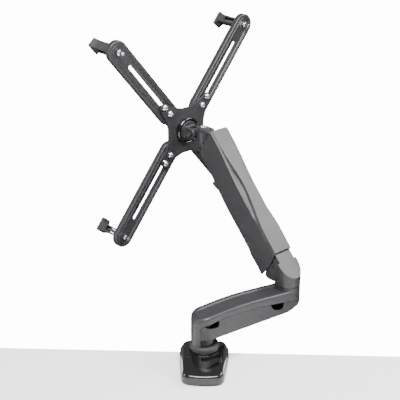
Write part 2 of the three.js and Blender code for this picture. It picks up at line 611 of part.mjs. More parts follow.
function buildSpringArm() {
  // The cover's side outline: a raked elbow end with a round lower corner, and a raked head end.
  const side = new THREE.Shape();
  side.moveTo(8, SHELL_TOP + 2);
  side.lineTo(-13, -20);
  side.quadraticCurveTo(-17, SHELL_BOTTOM, -7, SHELL_BOTTOM - 4);
  side.lineTo(SHELL_END, SHELL_BOTTOM - 9);
  side.lineTo(SHELL_END, SHELL_BOTTOM + 5);
  side.lineTo(SHELL_END + 17.5, SHELL_TOP + 2);
  const outer = shellSkin(-20, LINK_LENGTH + 10, 0).intersect(prism(side, 'x', -40, 40));
  const innerHollow = shellSkin(-20.5, LINK_LENGTH + 10.5, SHELL_WALL);
  const clips = [30, SHELL_END + 1].map((s) => block(-9, 9, s - 3, s + 3, 12 + GAP, SHELL_TOP - 1));
  const shell = clips.reduce((body, clip) => body.add(clip), outer.subtract(innerHollow));
  piece(springArm, 'spring_arm_cover', shell, satinBlack);

  // The load-carrying channel, open below, from the main pivot to the head pivot.
  const sheet = LINK_OUTER - LINK_INNER;
  const linkSide = new THREE.Shape();
  linkSide.moveTo(10, LINK_TOP);
  linkSide.lineTo(LINK_LENGTH - 8, LINK_TOP);
  linkSide.absarc(LINK_LENGTH, 0, 8, Math.PI / 2, -Math.PI / 2, true);
  linkSide.lineTo(12, -8);
  linkSide.absarc(0, 0, LINK_END_RADIUS, -Math.PI / 2, -1.5 * Math.PI, true);
  const link = prism(linkSide, 'x', -LINK_OUTER, LINK_OUTER)
    .subtract(block(-LINK_INNER, LINK_INNER, -20, LINK_LENGTH + 20, -20, LINK_TOP - sheet))
    .subtract(block(-LINK_INNER, LINK_INNER, -20, 18, -20, 20))
    .subtract(block(-LINK_INNER, LINK_INNER, LINK_LENGTH - 8, LINK_LENGTH + 20, -20, 20))
    .subtract(cylinder('x', PIVOT_RADIUS + GAP, -20, 20, 0, 0))
    .subtract(cylinder('x', LINK_PIN_RADIUS + GAP, -20, 20, LINK_LENGTH, 0))
    .subtract(cylinder('x', LINK_PIN_RADIUS + GAP, -20, 20, SPRING_HEAD_AT, 0));
  piece(springArm, 'upper_link', link, blackSteel);
  piece(springArm, 'spring_head_pin',
    cylinder('x', LINK_PIN_RADIUS, -LINK_OUTER, LINK_OUTER, SPRING_HEAD_AT, 0), blackSteel);

  // The panel that closes the underside, with its thicker stop pad near the elbow.
  const panelHalf = SHELL_HALF - SHELL_WALL - GAP;
  const panelFrom = 49;
  const panelStep = (SHELL_END - 17 - panelFrom) / 6;
  const panelLine = [0, 1, 2, 3, 4, 5, 6].map((k) => panelFrom + k * panelStep)
    .map((s) => [s, shellUnder(s)]);
  const panel = prism(outline([...panelLine, ...panelLine.slice().reverse().map(([s, z]) => [s, z + 2])]),
    'x', -panelHalf, panelHalf)
    .add(block(-panelHalf, panelHalf, panelFrom, panelFrom + 12, SHELL_BOTTOM - 3, SHELL_BOTTOM + 1));
  piece(springArm, 'underside_cover', panel, mattePlastic);

  // Gas spring: cylinder pinned at the head end, rod reaching the foot pin on the yoke.
  const footS = SPRING_FOOT.y * Math.cos(ELEVATION * DEG) + SPRING_FOOT.z * Math.sin(ELEVATION * DEG);
  const footN = -SPRING_FOOT.y * Math.sin(ELEVATION * DEG) + SPRING_FOOT.z * Math.cos(ELEVATION * DEG);
  const lean = Math.atan2(-footN, SPRING_HEAD_AT - footS);
  const length = Math.hypot(SPRING_HEAD_AT - footS, footN);
  const spring = group(springArm, 0, SPRING_HEAD_AT, 0, { x: lean });
  const bareRod = 96;
  const boreEnd = bareRod + 70;
  const tube = cylinder('y', SPRING_RADIUS, -length + bareRod, -8, 0, 0)
    .add(block(-4, 4, -10, 5, -5, 5))
    .subtract(cylinder('x', LINK_PIN_RADIUS + GAP, -10, 10, 0, 0))
    .subtract(cylinder('y', ROD_RADIUS + GAP, -length + bareRod - 1, -length + boreEnd, 0, 0));
  piece(spring, 'gas_spring_cylinder', tube, blackSteel);
  const rod = cylinder('y', ROD_RADIUS, -length + EYE_RADIUS - 1, -length + boreEnd - 15, 0, 0)
    .add(cylinder('x', EYE_RADIUS, -3.5, 3.5, -length, 0))
    .subtract(cylinder('x', LINK_PIN_RADIUS + EYE_CLEARANCE, -10, 10, -length, 0));
  piece(spring, 'gas_spring_rod', rod, steel);

  // Lower link: two strips at the elbow end, so that the gas spring rod passes between them.
  const bar = new THREE.Shape();
  bar.absarc(LINK_LENGTH, 0, 6, -Math.PI / 2, Math.PI / 2, false);
  bar.lineTo(LINK_LENGTH - 12, 2.4);
  bar.lineTo(12, 2.4);
  bar.absarc(0, 0, 6, Math.PI / 2, 1.5 * Math.PI, false);
  bar.lineTo(12, -2.4);
  bar.lineTo(LINK_LENGTH - 12, -2.4);
  const lowerLink = prism(bar, 'x', -8.6, 8.6)
    .subtract(block(-5, 5, -20, 46, -10, 10))
    .subtract(block(5 - GAP, 20, LINK_LENGTH - 20, LINK_LENGTH + 20, -10, 10))
    .subtract(block(-20, -5 + GAP, LINK_LENGTH - 20, LINK_LENGTH + 20, -10, 10))
    .subtract(cylinder('x', LINK_PIN_RADIUS + GAP, -20, 20, 0, 0))
    .subtract(cylinder('x', LINK_PIN_RADIUS + GAP, -20, 20, LINK_LENGTH, 0));
  piece(lowerLinkArm, 'lower_link', lowerLink, blackSteel);
}
buildSpringArm();

// ---------------------------------------------------------------- head
// The parallel links keep this group level at every height. Its origin is the head pivot.
const headY = mainPivotY + LINK_LENGTH * Math.cos(ELEVATION * DEG);
const headZ = PIVOT_Z + LINK_LENGTH * Math.sin(ELEVATION * DEG);
const head = group(monitorArm, elbowX, headY, headZ);
const swivel = group(head, 0, SWIVEL_FORWARD, -HUB_DROP);
const hubZ = headZ - HUB_DROP;

function buildHead() {
  const earTop = SWIVEL_HALF_HEIGHT - HUB_DROP;
  const earBottom = -SWIVEL_HALF_HEIGHT - HUB_DROP;
  const tongueHalf = LINK_INNER - GAP - 0.3;
  const cheek = new THREE.Shape();
  cheek.absarc(0, 0, 7.5, Math.PI / 2, Math.PI, false);
  cheek.lineTo(LINK_DROP.y - 7, LINK_DROP.z);
  cheek.absarc(LINK_DROP.y, LINK_DROP.z, 7, Math.PI, 1.5 * Math.PI, false);
  cheek.lineTo(14, earBottom);
  cheek.lineTo(14, earTop);
  cheek.lineTo(6, 7.5);
  const earLevels = [[earTop - EAR_THICKNESS, earTop], [earBottom, earBottom + EAR_THICKNESS]];
  const ears = earLevels.map(([from, to]) => {
    const shape = new THREE.Shape();
    shape.moveTo(-SLEEVE_RADIUS + 0.5, 8);
    shape.lineTo(SLEEVE_RADIUS - 0.5, 8);
    shape.lineTo(SLEEVE_RADIUS, SWIVEL_FORWARD);
    shape.absarc(0, SWIVEL_FORWARD, SLEEVE_RADIUS, 0, Math.PI, false);
    return prism(shape, 'z', from, to, 6);
  });
  const bracket = prism(cheek, 'x', -tongueHalf, tongueHalf)
    .add(ears[0]).add(ears[1])
    .subtract(block(-5, 5, -20, 11, LINK_DROP.z - 12, -8.5))
    .subtract(cylinder('x', LINK_PIN_RADIUS + GAP, -20, 20, 0, 0))
    .subtract(cylinder('x', LINK_PIN_RADIUS + GAP, -20, 20, LINK_DROP.y, LINK_DROP.z))
    .subtract(cylinder('z', 4 + GAP, earBottom - 1, earTop + 1, 0, SWIVEL_FORWARD));
  piece(head, 'head_bracket', bracket, satinBlack);
  piece(head, 'head_pin_upper', cylinder('x', LINK_PIN_RADIUS, -LINK_OUTER, LINK_OUTER, 0, 0), blackSteel);
  piece(head, 'head_pin_lower',
    cylinder('x', LINK_PIN_RADIUS, -tongueHalf, tongueHalf, LINK_DROP.y, LINK_DROP.z), blackSteel);

  // Swivel bolt with a flat polished head, threaded into the lower ear.
  const half = SWIVEL_HALF_HEIGHT;
  const bolt = cylinder('z', 4, -half - 3, half + GAP, 0, 0)
    .add(cylinder('z', 6, half + GAP, half + 1.7, 0, 0));
  piece(swivel, 'swivel_bolt', bolt, steel);

  const sleeveHalf = half - EAR_THICKNESS - GAP;
  const lug = new THREE.Shape();
  lug.moveTo(0, -8);
  lug.lineTo(TILT_FORWARD, -8);
  lug.absarc(TILT_FORWARD, 0, 8, -Math.PI / 2, Math.PI / 2, false);
  lug.lineTo(0, 8);
  const knuckle = cylinder('z', SLEEVE_RADIUS - 0.2, -sleeveHalf, sleeveHalf, 0, 0)
    .add(prism(lug, 'x', -5, 5))
    .subtract(cylinder('z', 4 + GAP, -20, 20, 0, 0))
    .subtract(cylinder('x', LINK_PIN_RADIUS + GAP, -20, 20, TILT_FORWARD, 0));
  piece(swivel, 'swivel_knuckle', knuckle, satinBlack);

  // Tilt joint: two lugs around the knuckle with friction washers, drawn up by one bolt.
  const hubBack = PLATE_BACK - 3.5;
  const lugIn = 7;
  const lugOut = 11;
  const tiltSide = new THREE.Shape();
  tiltSide.moveTo(hubBack - 4, -9.5);
  tiltSide.lineTo(hubBack - 4, 9.5);
  tiltSide.lineTo(TILT_FORWARD, 9.5);
  tiltSide.absarc(TILT_FORWARD, 0, 9.5, Math.PI / 2, 1.5 * Math.PI, false);
  const tilt = prism(tiltSide, 'x', -lugOut, lugOut)
    .subtract(block(-lugIn, lugIn, 0, TILT_FORWARD + 11.5, -12, 12))
    .add(cylinder('y', 18, hubBack - 4, hubBack - GAP, 0, 0))
    .subtract(cylinder('x', LINK_PIN_RADIUS + GAP, -20, 20, TILT_FORWARD, 0))
    .subtract(cylinder('y', 4 + GAP, hubBack - 10, hubBack + 5, 0, 0));
  piece(swivel, 'tilt_bracket', tilt, satinBlack);
  [-1, 1].forEach((sign) => {
    const from = Math.min(sign * (5 + GAP), sign * (lugIn - GAP));
    const to = Math.max(sign * (5 + GAP), sign * (lugIn - GAP));
    const washer = cylinder('x', 8, from, to, TILT_FORWARD, 0)
      .subtract(cylinder('x', LINK_PIN_RADIUS + GAP, -20, 20, TILT_FORWARD, 0));
    piece(swivel, sign < 0 ? 'tilt_washer_left' : 'tilt_washer_right', washer, mattePlastic);
  });
  const tiltBolt = cylinder('x', 3, -lugOut - GAP, lugOut + 3, TILT_FORWARD, 0)
    .add(prism(outline(hexagon(5.6, TILT_FORWARD, 0)), 'x', -lugOut - 4.3, -lugOut - GAP));
  piece(swivel, 'tilt_bolt', tiltBolt, blackSteel);

  // The plate turns on the hub disc about the hub bolt.
  const discFrom = hubBack;
  const hubDisc = cylinder('y', HUB_RADIUS, discFrom, PLATE_BACK - GAP, 0, 0)
    .subtract(cylinder('y', 4 + GAP, discFrom - 5, PLATE_BACK + 5, 0, 0));
  piece(swivel, 'hub_disc', hubDisc, mattePlastic);
  const hubBolt = cylinder('y', 4, hubBack - 7, PLATE_BACK + PLATE_SHEET + GAP, 0, 0)
    .add(cylinder('y', 9, PLATE_BACK + PLATE_SHEET + GAP, PLATE_BACK + PLATE_SHEET + 2.6, 0, 0))
    .add(cylinder('y', 5.5, hubBack - 9.4, hubBack - 6.9, 0, 0));
  piece(swivel, 'hub_bolt', hubBolt, steel);
}
buildHead();

// ---------------------------------------------------------------- adapter plate
const OUTER_PITCH = Math.SQRT2 * (HOLE_OUTER - HOLE_INNER);

function plateOutline() {
  const shape = new THREE.Shape();
  const tip = HOLE_OUTER - 1;
  const corners = [[1, 1], [-1, 1], [-1, -1], [1, -1]];
  corners.forEach(([cx, cz], i) => {
    const start = Math.atan2(cz, cx) - 70 * DEG;
    shape.absarc(cx * tip, cz * tip, LOBE_RADIUS, start, start + 140 * DEG, false);
    const [nx, nz] = corners[(i + 1) % 4];
    const end = Math.atan2(nz, nx) - 70 * DEG;
    const mid = [(cx + nx) / 2, (cz + nz) / 2];
    const pull = WAIST * 2 - tip - LOBE_RADIUS;
    shape.quadraticCurveTo(mid[0] * pull, mid[1] * pull,
      nx * tip + LOBE_RADIUS * Math.cos(end), nz * tip + LOBE_RADIUS * Math.sin(end));
  });
  return shape;
}

// A curved slot about the inner hole, for the outer screw's swing.
function swingSlot(cx, cz) {
  const middle = Math.atan2(cz, cx);
  const spread = SCREW_SPREAD * DEG;
  const shape = new THREE.Shape();
  const u = cx * HOLE_INNER;
  const v = cz * HOLE_INNER;
  const r = OUTER_PITCH;
  const w = SCREW_RADIUS + GAP;
  shape.absarc(u, v, r + w, middle - spread, middle + spread, false);
  shape.absarc(u + r * Math.cos(middle + spread), v + r * Math.sin(middle + spread), w,
    middle + spread, middle + spread + Math.PI, false);
  shape.absarc(u, v, r - w, middle + spread, middle - spread, true);
  shape.absarc(u + r * Math.cos(middle - spread), v + r * Math.sin(middle - spread), w,
    middle - spread + Math.PI, middle - spread + 2 * Math.PI, false);
  return shape;
}

const CORNERS = [
  { name: 'upper_left', cx: -1, cz: 1 }, { name: 'upper_right', cx: 1, cz: 1 },
  { name: 'lower_left', cx: -1, cz: -1 }, { name: 'lower_right', cx: 1, cz: -1 },
];

// A pan-head screw along Y with a hexagon socket, its head on the near side.
function panScrew(length) {
  return cylinder('y', SCREW_RADIUS, 0, length, 0, 0)
    .add(turned([
      [0, 0], [SCREW_HEAD_RADIUS, 0], [SCREW_HEAD_RADIUS, SCREW_HEAD_HEIGHT / 2],
      [SCREW_HEAD_RADIUS - 1.6, SCREW_HEAD_HEIGHT], [0, SCREW_HEAD_HEIGHT],
    ]).rotate([90, 0, 0]))
    .subtract(prism(outline(hexagon(2.2, 0, 0)), 'y', -SCREW_HEAD_HEIGHT - 1, -SCREW_HEAD_HEIGHT / 2));
}

function buildPlate() {
  let plate = prism(plateOutline(), 'y', PLATE_BACK, PLATE_BACK + PLATE_SHEET)
    .subtract(cylinder('y', 4 + GAP, PLATE_BACK - 5, PLATE_BACK + 10, 0, 0));
  CORNERS.forEach(({ cx, cz }) => {
    plate = plate
      .subtract(cylinder('y', SCREW_RADIUS + GAP, PLATE_BACK - 5, PLATE_BACK + 10,
        cx * HOLE_INNER, cz * HOLE_INNER))
      .subtract(prism(swingSlot(cx, cz), 'y', PLATE_BACK - 5, PLATE_BACK + 10, 3));
  });
  piece(swivel, 'x_plate', plate, satinBlack);
}
buildPlate();

// ---------------------------------------------------------------- adapter arms and hooks
// Each arm's group has its origin on the inner screw, at the arm's near face, with +X along the arm.
function armSection() {
  const strip = (half, from, to) => prism(stadium(-ARM_TAIL, 0, ARM_REACH, 0, half), 'y', from, to, 6);
  const rim = strip(ARM_HALF, 0, ARM_LIP).subtract(strip(ARM_HALF - ARM_SHEET, ARM_SHEET, ARM_LIP + 1));
  const pressed = strip(ARM_PRESS_HALF + ARM_SHEET, ARM_PRESS, ARM_PRESS + ARM_SHEET)
    .subtract(prism(stadium(-ARM_SLOT_START, 0, ARM_REACH - ARM_SLOT_STOP, 0, SLOT_HALF),
      'y', -1, ARM_LIP, 4))
    .subtract(cylinder('y', HOOK_ROD_RADIUS + GAP, -1, ARM_LIP, ARM_REACH, 0));
  return rim.subtract(strip(ARM_PRESS_HALF, -1, ARM_PRESS))
    .subtract(strip(ARM_PRESS_HALF - GAP, -1, ARM_LIP)).add(pressed);
}

// A threaded rod with a fixed hexagon collar that seats on the arm's near face.
function hookRod() {
  return cylinder('y', HOOK_ROD_RADIUS, -12, HOOK_DEPTH - 12, 0, 0)
    .add(prism(outline(hexagon(5.4, 0, 0)), 'y', ARM_PRESS - 4, ARM_PRESS - GAP));
}

// The claw: a waisted body around the rod, open at the sides, with an outer flare and an inner lip
// for the edge of the screen.
function hookClaw() {
  const profile = new THREE.Shape();
  const far = HOOK_DEPTH;
  const near = ARM_LIP + GAP;
  const lip = 7;
  profile.moveTo(CLAW_NECK, near);
  profile.lineTo(CLAW_NECK, far * 0.5);
  profile.quadraticCurveTo(CLAW_NECK + 1, far - 14, CLAW_FLARE - 1, far - lip);
  profile.quadraticCurveTo(CLAW_FLARE + 1.5, far, CLAW_FLARE - 4, far);
  profile.lineTo(-CLAW_LIP + 4, far);
  profile.quadraticCurveTo(-CLAW_LIP - 1, far, -CLAW_LIP, far - 4);
  profile.quadraticCurveTo(-CLAW_LIP + 1, far - lip, -CLAW_LIP + 4, far - lip);
  profile.lineTo(-CLAW_NECK, far - lip - 2);
  profile.lineTo(-CLAW_NECK, near);
  const window = HOOK_ROD_RADIUS + 2 * GAP;
  return prism(new THREE.Shape(profile.getPoints(5)), 'z', -CLAW_HALF, CLAW_HALF)
    .add(cylinder('y', 7, ARM_PRESS + ARM_SHEET + GAP, near + 3))
    .subtract(cylinder('y', HOOK_ROD_RADIUS + GAP, -5, far - 12 + GAP))
    .subtract(block(-window, window, near + 10, far - 20, -CLAW_HALF - 1, CLAW_HALF + 1));
}

function buildAdapterArms() {
  CORNERS.forEach(({ name, cx, cz }) => {
    const x = cx * HOLE_INNER;
    const z = cz * HOLE_INNER;
    const nearFace = PLATE_BACK + PLATE_SHEET + GAP;
    const direction = Math.atan2(cz * Math.sin(ARM_ANGLE * DEG), cx * Math.cos(ARM_ANGLE * DEG));
    const frame = group(swivel, x, nearFace, z, { y: -direction });
    piece(frame, `adapter_arm_${name}`, armSection(), satinBlack);

    const inner = group(frame, 0, -PLATE_SHEET - 2 * GAP, 0);
    piece(inner, `inner_screw_${name}`, panScrew(PLATE_SHEET + ARM_PRESS + ARM_SHEET + 5), steel);
    const outer = group(frame, OUTER_PITCH, -PLATE_SHEET - 2 * GAP, 0);
    piece(outer, `outer_screw_${name}`, panScrew(PLATE_SHEET + ARM_PRESS + ARM_SHEET + 5), steel);

    const hook = group(frame, ARM_REACH, 0, 0);
    piece(hook, `hook_rod_${name}`, hookRod(), steel);
    piece(hook, `hook_claw_${name}`, hookClaw(), mattePlastic);
  });
}
buildAdapterArms();

export default monitorArm;
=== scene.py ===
import bpy, bmesh, json, math
from mathutils import Matrix, Vector


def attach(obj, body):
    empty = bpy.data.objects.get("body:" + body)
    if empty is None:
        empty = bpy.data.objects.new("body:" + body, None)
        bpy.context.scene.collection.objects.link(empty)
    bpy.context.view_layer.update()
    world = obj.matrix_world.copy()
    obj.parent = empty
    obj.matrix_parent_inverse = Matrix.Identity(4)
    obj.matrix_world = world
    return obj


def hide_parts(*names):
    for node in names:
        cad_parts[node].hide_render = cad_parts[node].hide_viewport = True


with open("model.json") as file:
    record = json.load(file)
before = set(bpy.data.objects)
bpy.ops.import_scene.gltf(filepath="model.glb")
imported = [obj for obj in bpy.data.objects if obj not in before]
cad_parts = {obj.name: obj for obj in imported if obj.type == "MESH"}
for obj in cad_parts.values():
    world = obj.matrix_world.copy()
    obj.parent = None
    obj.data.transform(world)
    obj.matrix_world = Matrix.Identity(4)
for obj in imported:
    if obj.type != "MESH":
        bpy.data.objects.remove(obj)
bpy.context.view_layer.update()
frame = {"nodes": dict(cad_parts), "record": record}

# ---------------------------------------------------------------- camera
# A long portrait lens, above and to the left of the clamp side, looking down along the arm.
camera_data = bpy.data.cameras.new("camera")
camera_data.lens = 85.95
camera_data.sensor_width = 36.0
camera_data.clip_end = 20.0
camera = bpy.data.objects.new("camera", camera_data)
bpy.context.scene.collection.objects.link(camera)
camera.location = (-0.9005, -0.9661, 0.8610)
heading, dip = math.radians(47.3), math.radians(23.48)
sight = Vector((math.cos(heading) * math.cos(dip), math.sin(heading) * math.cos(dip), -math.sin(dip)))
camera.rotation_euler = sight.to_track_quat("-Z", "Y").to_euler()
bpy.context.scene.camera = camera

# ---------------------------------------------------------------- desk board
# A pale laminate board with an eased edge, gripped between the base pad and the clamp disc.
# The board ends at the back of the base, where the clamp's flange hangs down.
MM = 0.001


def linked(name, mesh):
    """A finished mesh as an object in the scene."""
    made = bpy.data.objects.new(name, mesh)
    bpy.context.scene.collection.objects.link(made)
    return made


def skin(name, points, faces, place=Matrix()):
    """A closed skin from points in millimetres, put in its place, its doubles merged and faces outwards."""
    built = bmesh.new()
    verts = [built.verts.new((place @ Vector(p)) * MM) for p in points]
    for face in faces:
        if len(set(face)) > 2:
            built.faces.new([verts[i] for i in face])
    bmesh.ops.remove_doubles(built, verts=built.verts, dist=2e-6)
    bmesh.ops.dissolve_degenerate(built, edges=built.edges, dist=1e-6)
    bmesh.ops.recalc_face_normals(built, faces=built.faces)
    mesh = bpy.data.meshes.new(name)
    built.to_mesh(mesh)
    built.free()
    return mesh


def loft(name, rings, place=Matrix(), capped=True):
    """Rings of the same number of points joined into one skin, closed at both ends."""
    count = len(rings[0])
    points = [p for ring in rings for p in ring]
    faces = [(r * count + i, r * count + (i + 1) % count, (r + 1) * count + (i + 1) % count, (r + 1) * count + i)
             for r in range(len(rings) - 1) for i in range(count)]
    if capped:
        faces += [tuple(range(count)), tuple(range(len(points) - 1, len(points) - 1 - count, -1))]
    return skin(name, points, faces, place)


def prism(name, outline, axis, low, high, place=Matrix()):
    """An outline pushed along an axis: drawn in (x, y) for z, (y, z) for x and (x, z) for y."""
    lift = {"z": lambda u, v, w: (u, v, w), "x": lambda u, v, w: (w, u, v), "y": lambda u, v, w: (u, w, v)}[axis]
    return loft(name, [[lift(u, v, low) for u, v in outline], [lift(u, v, high) for u, v in outline]], place)


def rounded(outline, radius, steps=6, closed=True):
    """An outline with its corners turned into arcs, where there is room for them."""
    result = []
    count = len(outline)
    for i, corner in enumerate(outline):
        if not closed and i in (0, count - 1):
            result.append(tuple(corner))
            continue
        here, before, after = Vector(corner), Vector(outline[i - 1]), Vector(outline[(i + 1) % count])
        into, out = (before - here), (after - here)
        r = radius[i] if isinstance(radius, (list, tuple)) else radius
        reach = min(r, into.length * 0.49, out.length * 0.49)
        a, b = here + into.normalized() * reach, here + out.normalized() * reach
        for k in range(steps + 1):
            t = k / steps
            result.append(tuple(a * (1 - t) ** 2 + here * 2 * t * (1 - t) + b * t ** 2))
    return result


def circle(radius, u=0.0, v=0.0, sides=72):
    """The points of a circle."""
    return [(u + radius * math.cos(2 * math.pi * i / sides), v + radius * math.sin(2 * math.pi * i / sides))
            for i in range(sides)]


def baked(piece):
    """Turns what a piece's modifiers make into its own plain mesh."""
    graph = bpy.context.evaluated_depsgraph_get()
    graph.update()
    mesh = bpy.data.meshes.new_from_object(piece.evaluated_get(graph), preserve_all_data_layers=True, depsgraph=graph)
    piece.modifiers.clear()
    piece.data = mesh


def joined(mesh, other, operation="DIFFERENCE"):
    """One closed skin cut by, added to or kept within another."""
    piece, tool = linked("blank", mesh), linked("tool", other)
    step = piece.modifiers.new("join", "BOOLEAN")
    step.operation, step.solver, step.object = operation, "EXACT", tool
    baked(piece)
    result = piece.data
    bpy.data.objects.remove(piece)
    bpy.data.objects.remove(tool)
    return result


def eased(piece, width, segments=3, angle=30, flats=True):
    """Rounds a piece's edges over, evens its shading and bakes the result into its mesh."""
    built = bmesh.new()
    built.from_mesh(piece.data)
    bmesh.ops.remove_doubles(built, verts=built.verts, dist=4e-6)
    if flats:
        bmesh.ops.dissolve_limit(built, angle_limit=math.radians(0.4), verts=built.verts, edges=built.edges)
    else:
        bmesh.ops.triangulate(built, faces=[f for f in built.faces if len(f.verts) > 4])
        bmesh.ops.recalc_face_normals(built, faces=built.faces)
    built.to_mesh(piece.data)
    built.free()
    if width:
        bevel = piece.modifiers.new("edge", "BEVEL")
        bevel.width = width * MM
        bevel.segments = segments
        bevel.limit_method = "ANGLE"
        bevel.angle_limit = math.radians(angle)
        bevel.harden_normals = False
    piece.data.shade_smooth()
    weighted = piece.modifiers.new("normals", "WEIGHTED_NORMAL")
    weighted.keep_sharp = True
    weighted.weight = 80
    baked(piece)
    return piece


def shader(name, roughness, metallic=0.0, coat=0.0, coat_roughness=0.1, specular=0.5):
    """A new material, and its node tree and surface shader."""
    made = bpy.data.materials.new(name)
    made.use_nodes = True
    surface = made.node_tree.nodes["Principled BSDF"]
    surface.inputs["Roughness"].default_value = roughness
    surface.inputs["Metallic"].default_value = metallic
    surface.inputs["Coat Weight"].default_value = coat
    surface.inputs["Coat Roughness"].default_value = coat_roughness
    surface.inputs["Specular IOR Level"].default_value = specular
    return made, made.node_tree, surface


def node(tree, kind, at=(0, 0), **settings):
    """A node with its settings and its inputs' values."""
    made = tree.nodes.new(kind)
    made.location = at
    inputs = settings.pop("inputs", {})
    for key, value in settings.items():
        setattr(made, key, value)
    for key, value in inputs.items():
        made.inputs[key].default_value = value
    return made


def grain_group():
    """Fine surface texture: a colour shift, a roughness shift and a height, from Object coordinates."""
    group = bpy.data.node_groups.new("surface_grain", "ShaderNodeTree")
    for label, value in (("Grain Size", 0.4), ("Grain Depth", 0.5), ("Mottle Size", 30.0), ("Mottle", 0.3)):
        socket = group.interface.new_socket(label, in_out="INPUT", socket_type="NodeSocketFloat")
        socket.default_value = value
    for label in ("Shade", "Rough", "Height"):
        group.interface.new_socket(label, in_out="OUTPUT", socket_type="NodeSocketFloat")
    start = node(group, "NodeGroupInput", (-900, 0))
    end = node(group, "NodeGroupOutput", (700, 0))
    place = node(group, "ShaderNodeTexCoord", (-900, 300))
    link = group.links.new
    per_mm = node(group, "ShaderNodeMath", (-700, 0), operation="DIVIDE", inputs={0: 1000.0})
    link(start.outputs["Grain Size"], per_mm.inputs[1])
    fine = node(group, "ShaderNodeTexNoise", (-500, 200), inputs={"Detail": 3.0, "Roughness": 0.6})
    link(place.outputs["Object"], fine.inputs["Vector"])
    link(per_mm.outputs[0], fine.inputs["Scale"])
    per_mm_2 = node(group, "ShaderNodeMath", (-700, -200), operation="DIVIDE", inputs={0: 1000.0})
    link(start.outputs["Mottle Size"], per_mm_2.inputs[1])
    broad = node(group, "ShaderNodeTexNoise", (-500, -100), inputs={"Detail": 4.0, "Roughness": 0.55})
    link(place.outputs["Object"], broad.inputs["Vector"])
    link(per_mm_2.outputs[0], broad.inputs["Scale"])
    centred = node(group, "ShaderNodeMath", (-300, -100), operation="SUBTRACT", inputs={1: 0.5})
    link(broad.outputs["Fac"], centred.inputs[0])
    mottle = node(group, "ShaderNodeMath", (-100, -100), operation="MULTIPLY")
    link(centred.outputs[0], mottle.inputs[0])
    link(start.outputs["Mottle"], mottle.inputs[1])
    shade = node(group, "ShaderNodeMath", (100, -100), operation="ADD", inputs={1: 1.0})
    link(mottle.outputs[0], shade.inputs[0])
    link(shade.outputs[0], end.inputs["Shade"])
    link(mottle.outputs[0], end.inputs["Rough"])
    height = node(group, "ShaderNodeMath", (100, 200), operation="MULTIPLY")
    link(fine.outputs["Fac"], height.inputs[0])
    link(start.outputs["Grain Depth"], height.inputs[1])
    link(height.outputs[0], end.inputs["Height"])
    return group


surface_grain = grain_group()


def worn_edge_group():
    """Where edges are rubbed: 1 on a sharp outer edge, broken up by a blotchy pattern."""
    group = bpy.data.node_groups.new("worn_edge", "ShaderNodeTree")
    for label, value in (("Reach", 0.54), ("Blotch Size", 6.0), ("Amount", 0.5)):
        socket = group.interface.new_socket(label, in_out="INPUT", socket_type="NodeSocketFloat")
        socket.default_value = value
    group.interface.new_socket("Mask", in_out="OUTPUT", socket_type="NodeSocketFloat")
    start = node(group, "NodeGroupInput", (-900, 0))
    end = node(group, "NodeGroupOutput", (700, 0))
    shape = node(group, "ShaderNodeNewGeometry", (-900, 300))
    place = node(group, "ShaderNodeTexCoord", (-900, -300))
    link = group.links.new
    above = node(group, "ShaderNodeMath", (-600, 300), operation="SUBTRACT")
    link(shape.outputs["Pointiness"], above.inputs[0])
    link(start.outputs["Reach"], above.inputs[1])
    steep = node(group, "ShaderNodeMath", (-400, 300), operation="MULTIPLY", use_clamp=True, inputs={1: 9.0})
    link(above.outputs[0], steep.inputs[0])
    per_mm = node(group, "ShaderNodeMath", (-700, -200), operation="DIVIDE", inputs={0: 1000.0})
    link(start.outputs["Blotch Size"], per_mm.inputs[1])
    blotch = node(group, "ShaderNodeTexNoise", (-500, -200), inputs={"Detail": 5.0, "Roughness": 0.65})
    link(place.outputs["Object"], blotch.inputs["Vector"])
    link(per_mm.outputs[0], blotch.inputs["Scale"])
    patch = node(group, "ShaderNodeMapRange", (-250, -200), inputs={"From Min": 0.42, "From Max": 0.62})
    link(blotch.outputs["Fac"], patch.inputs["Value"])
    both = node(group, "ShaderNodeMath", (0, 100), operation="MULTIPLY")
    link(steep.outputs[0], both.inputs[0])
    link(patch.outputs["Result"], both.inputs[1])
    scaled = node(group, "ShaderNodeMath", (200, 100), operation="MULTIPLY", use_clamp=True)
    link(both.outputs[0], scaled.inputs[0])
    link(start.outputs["Amount"], scaled.inputs[1])
    link(scaled.outputs[0], end.inputs["Mask"])
    return group


worn_edge = worn_edge_group()


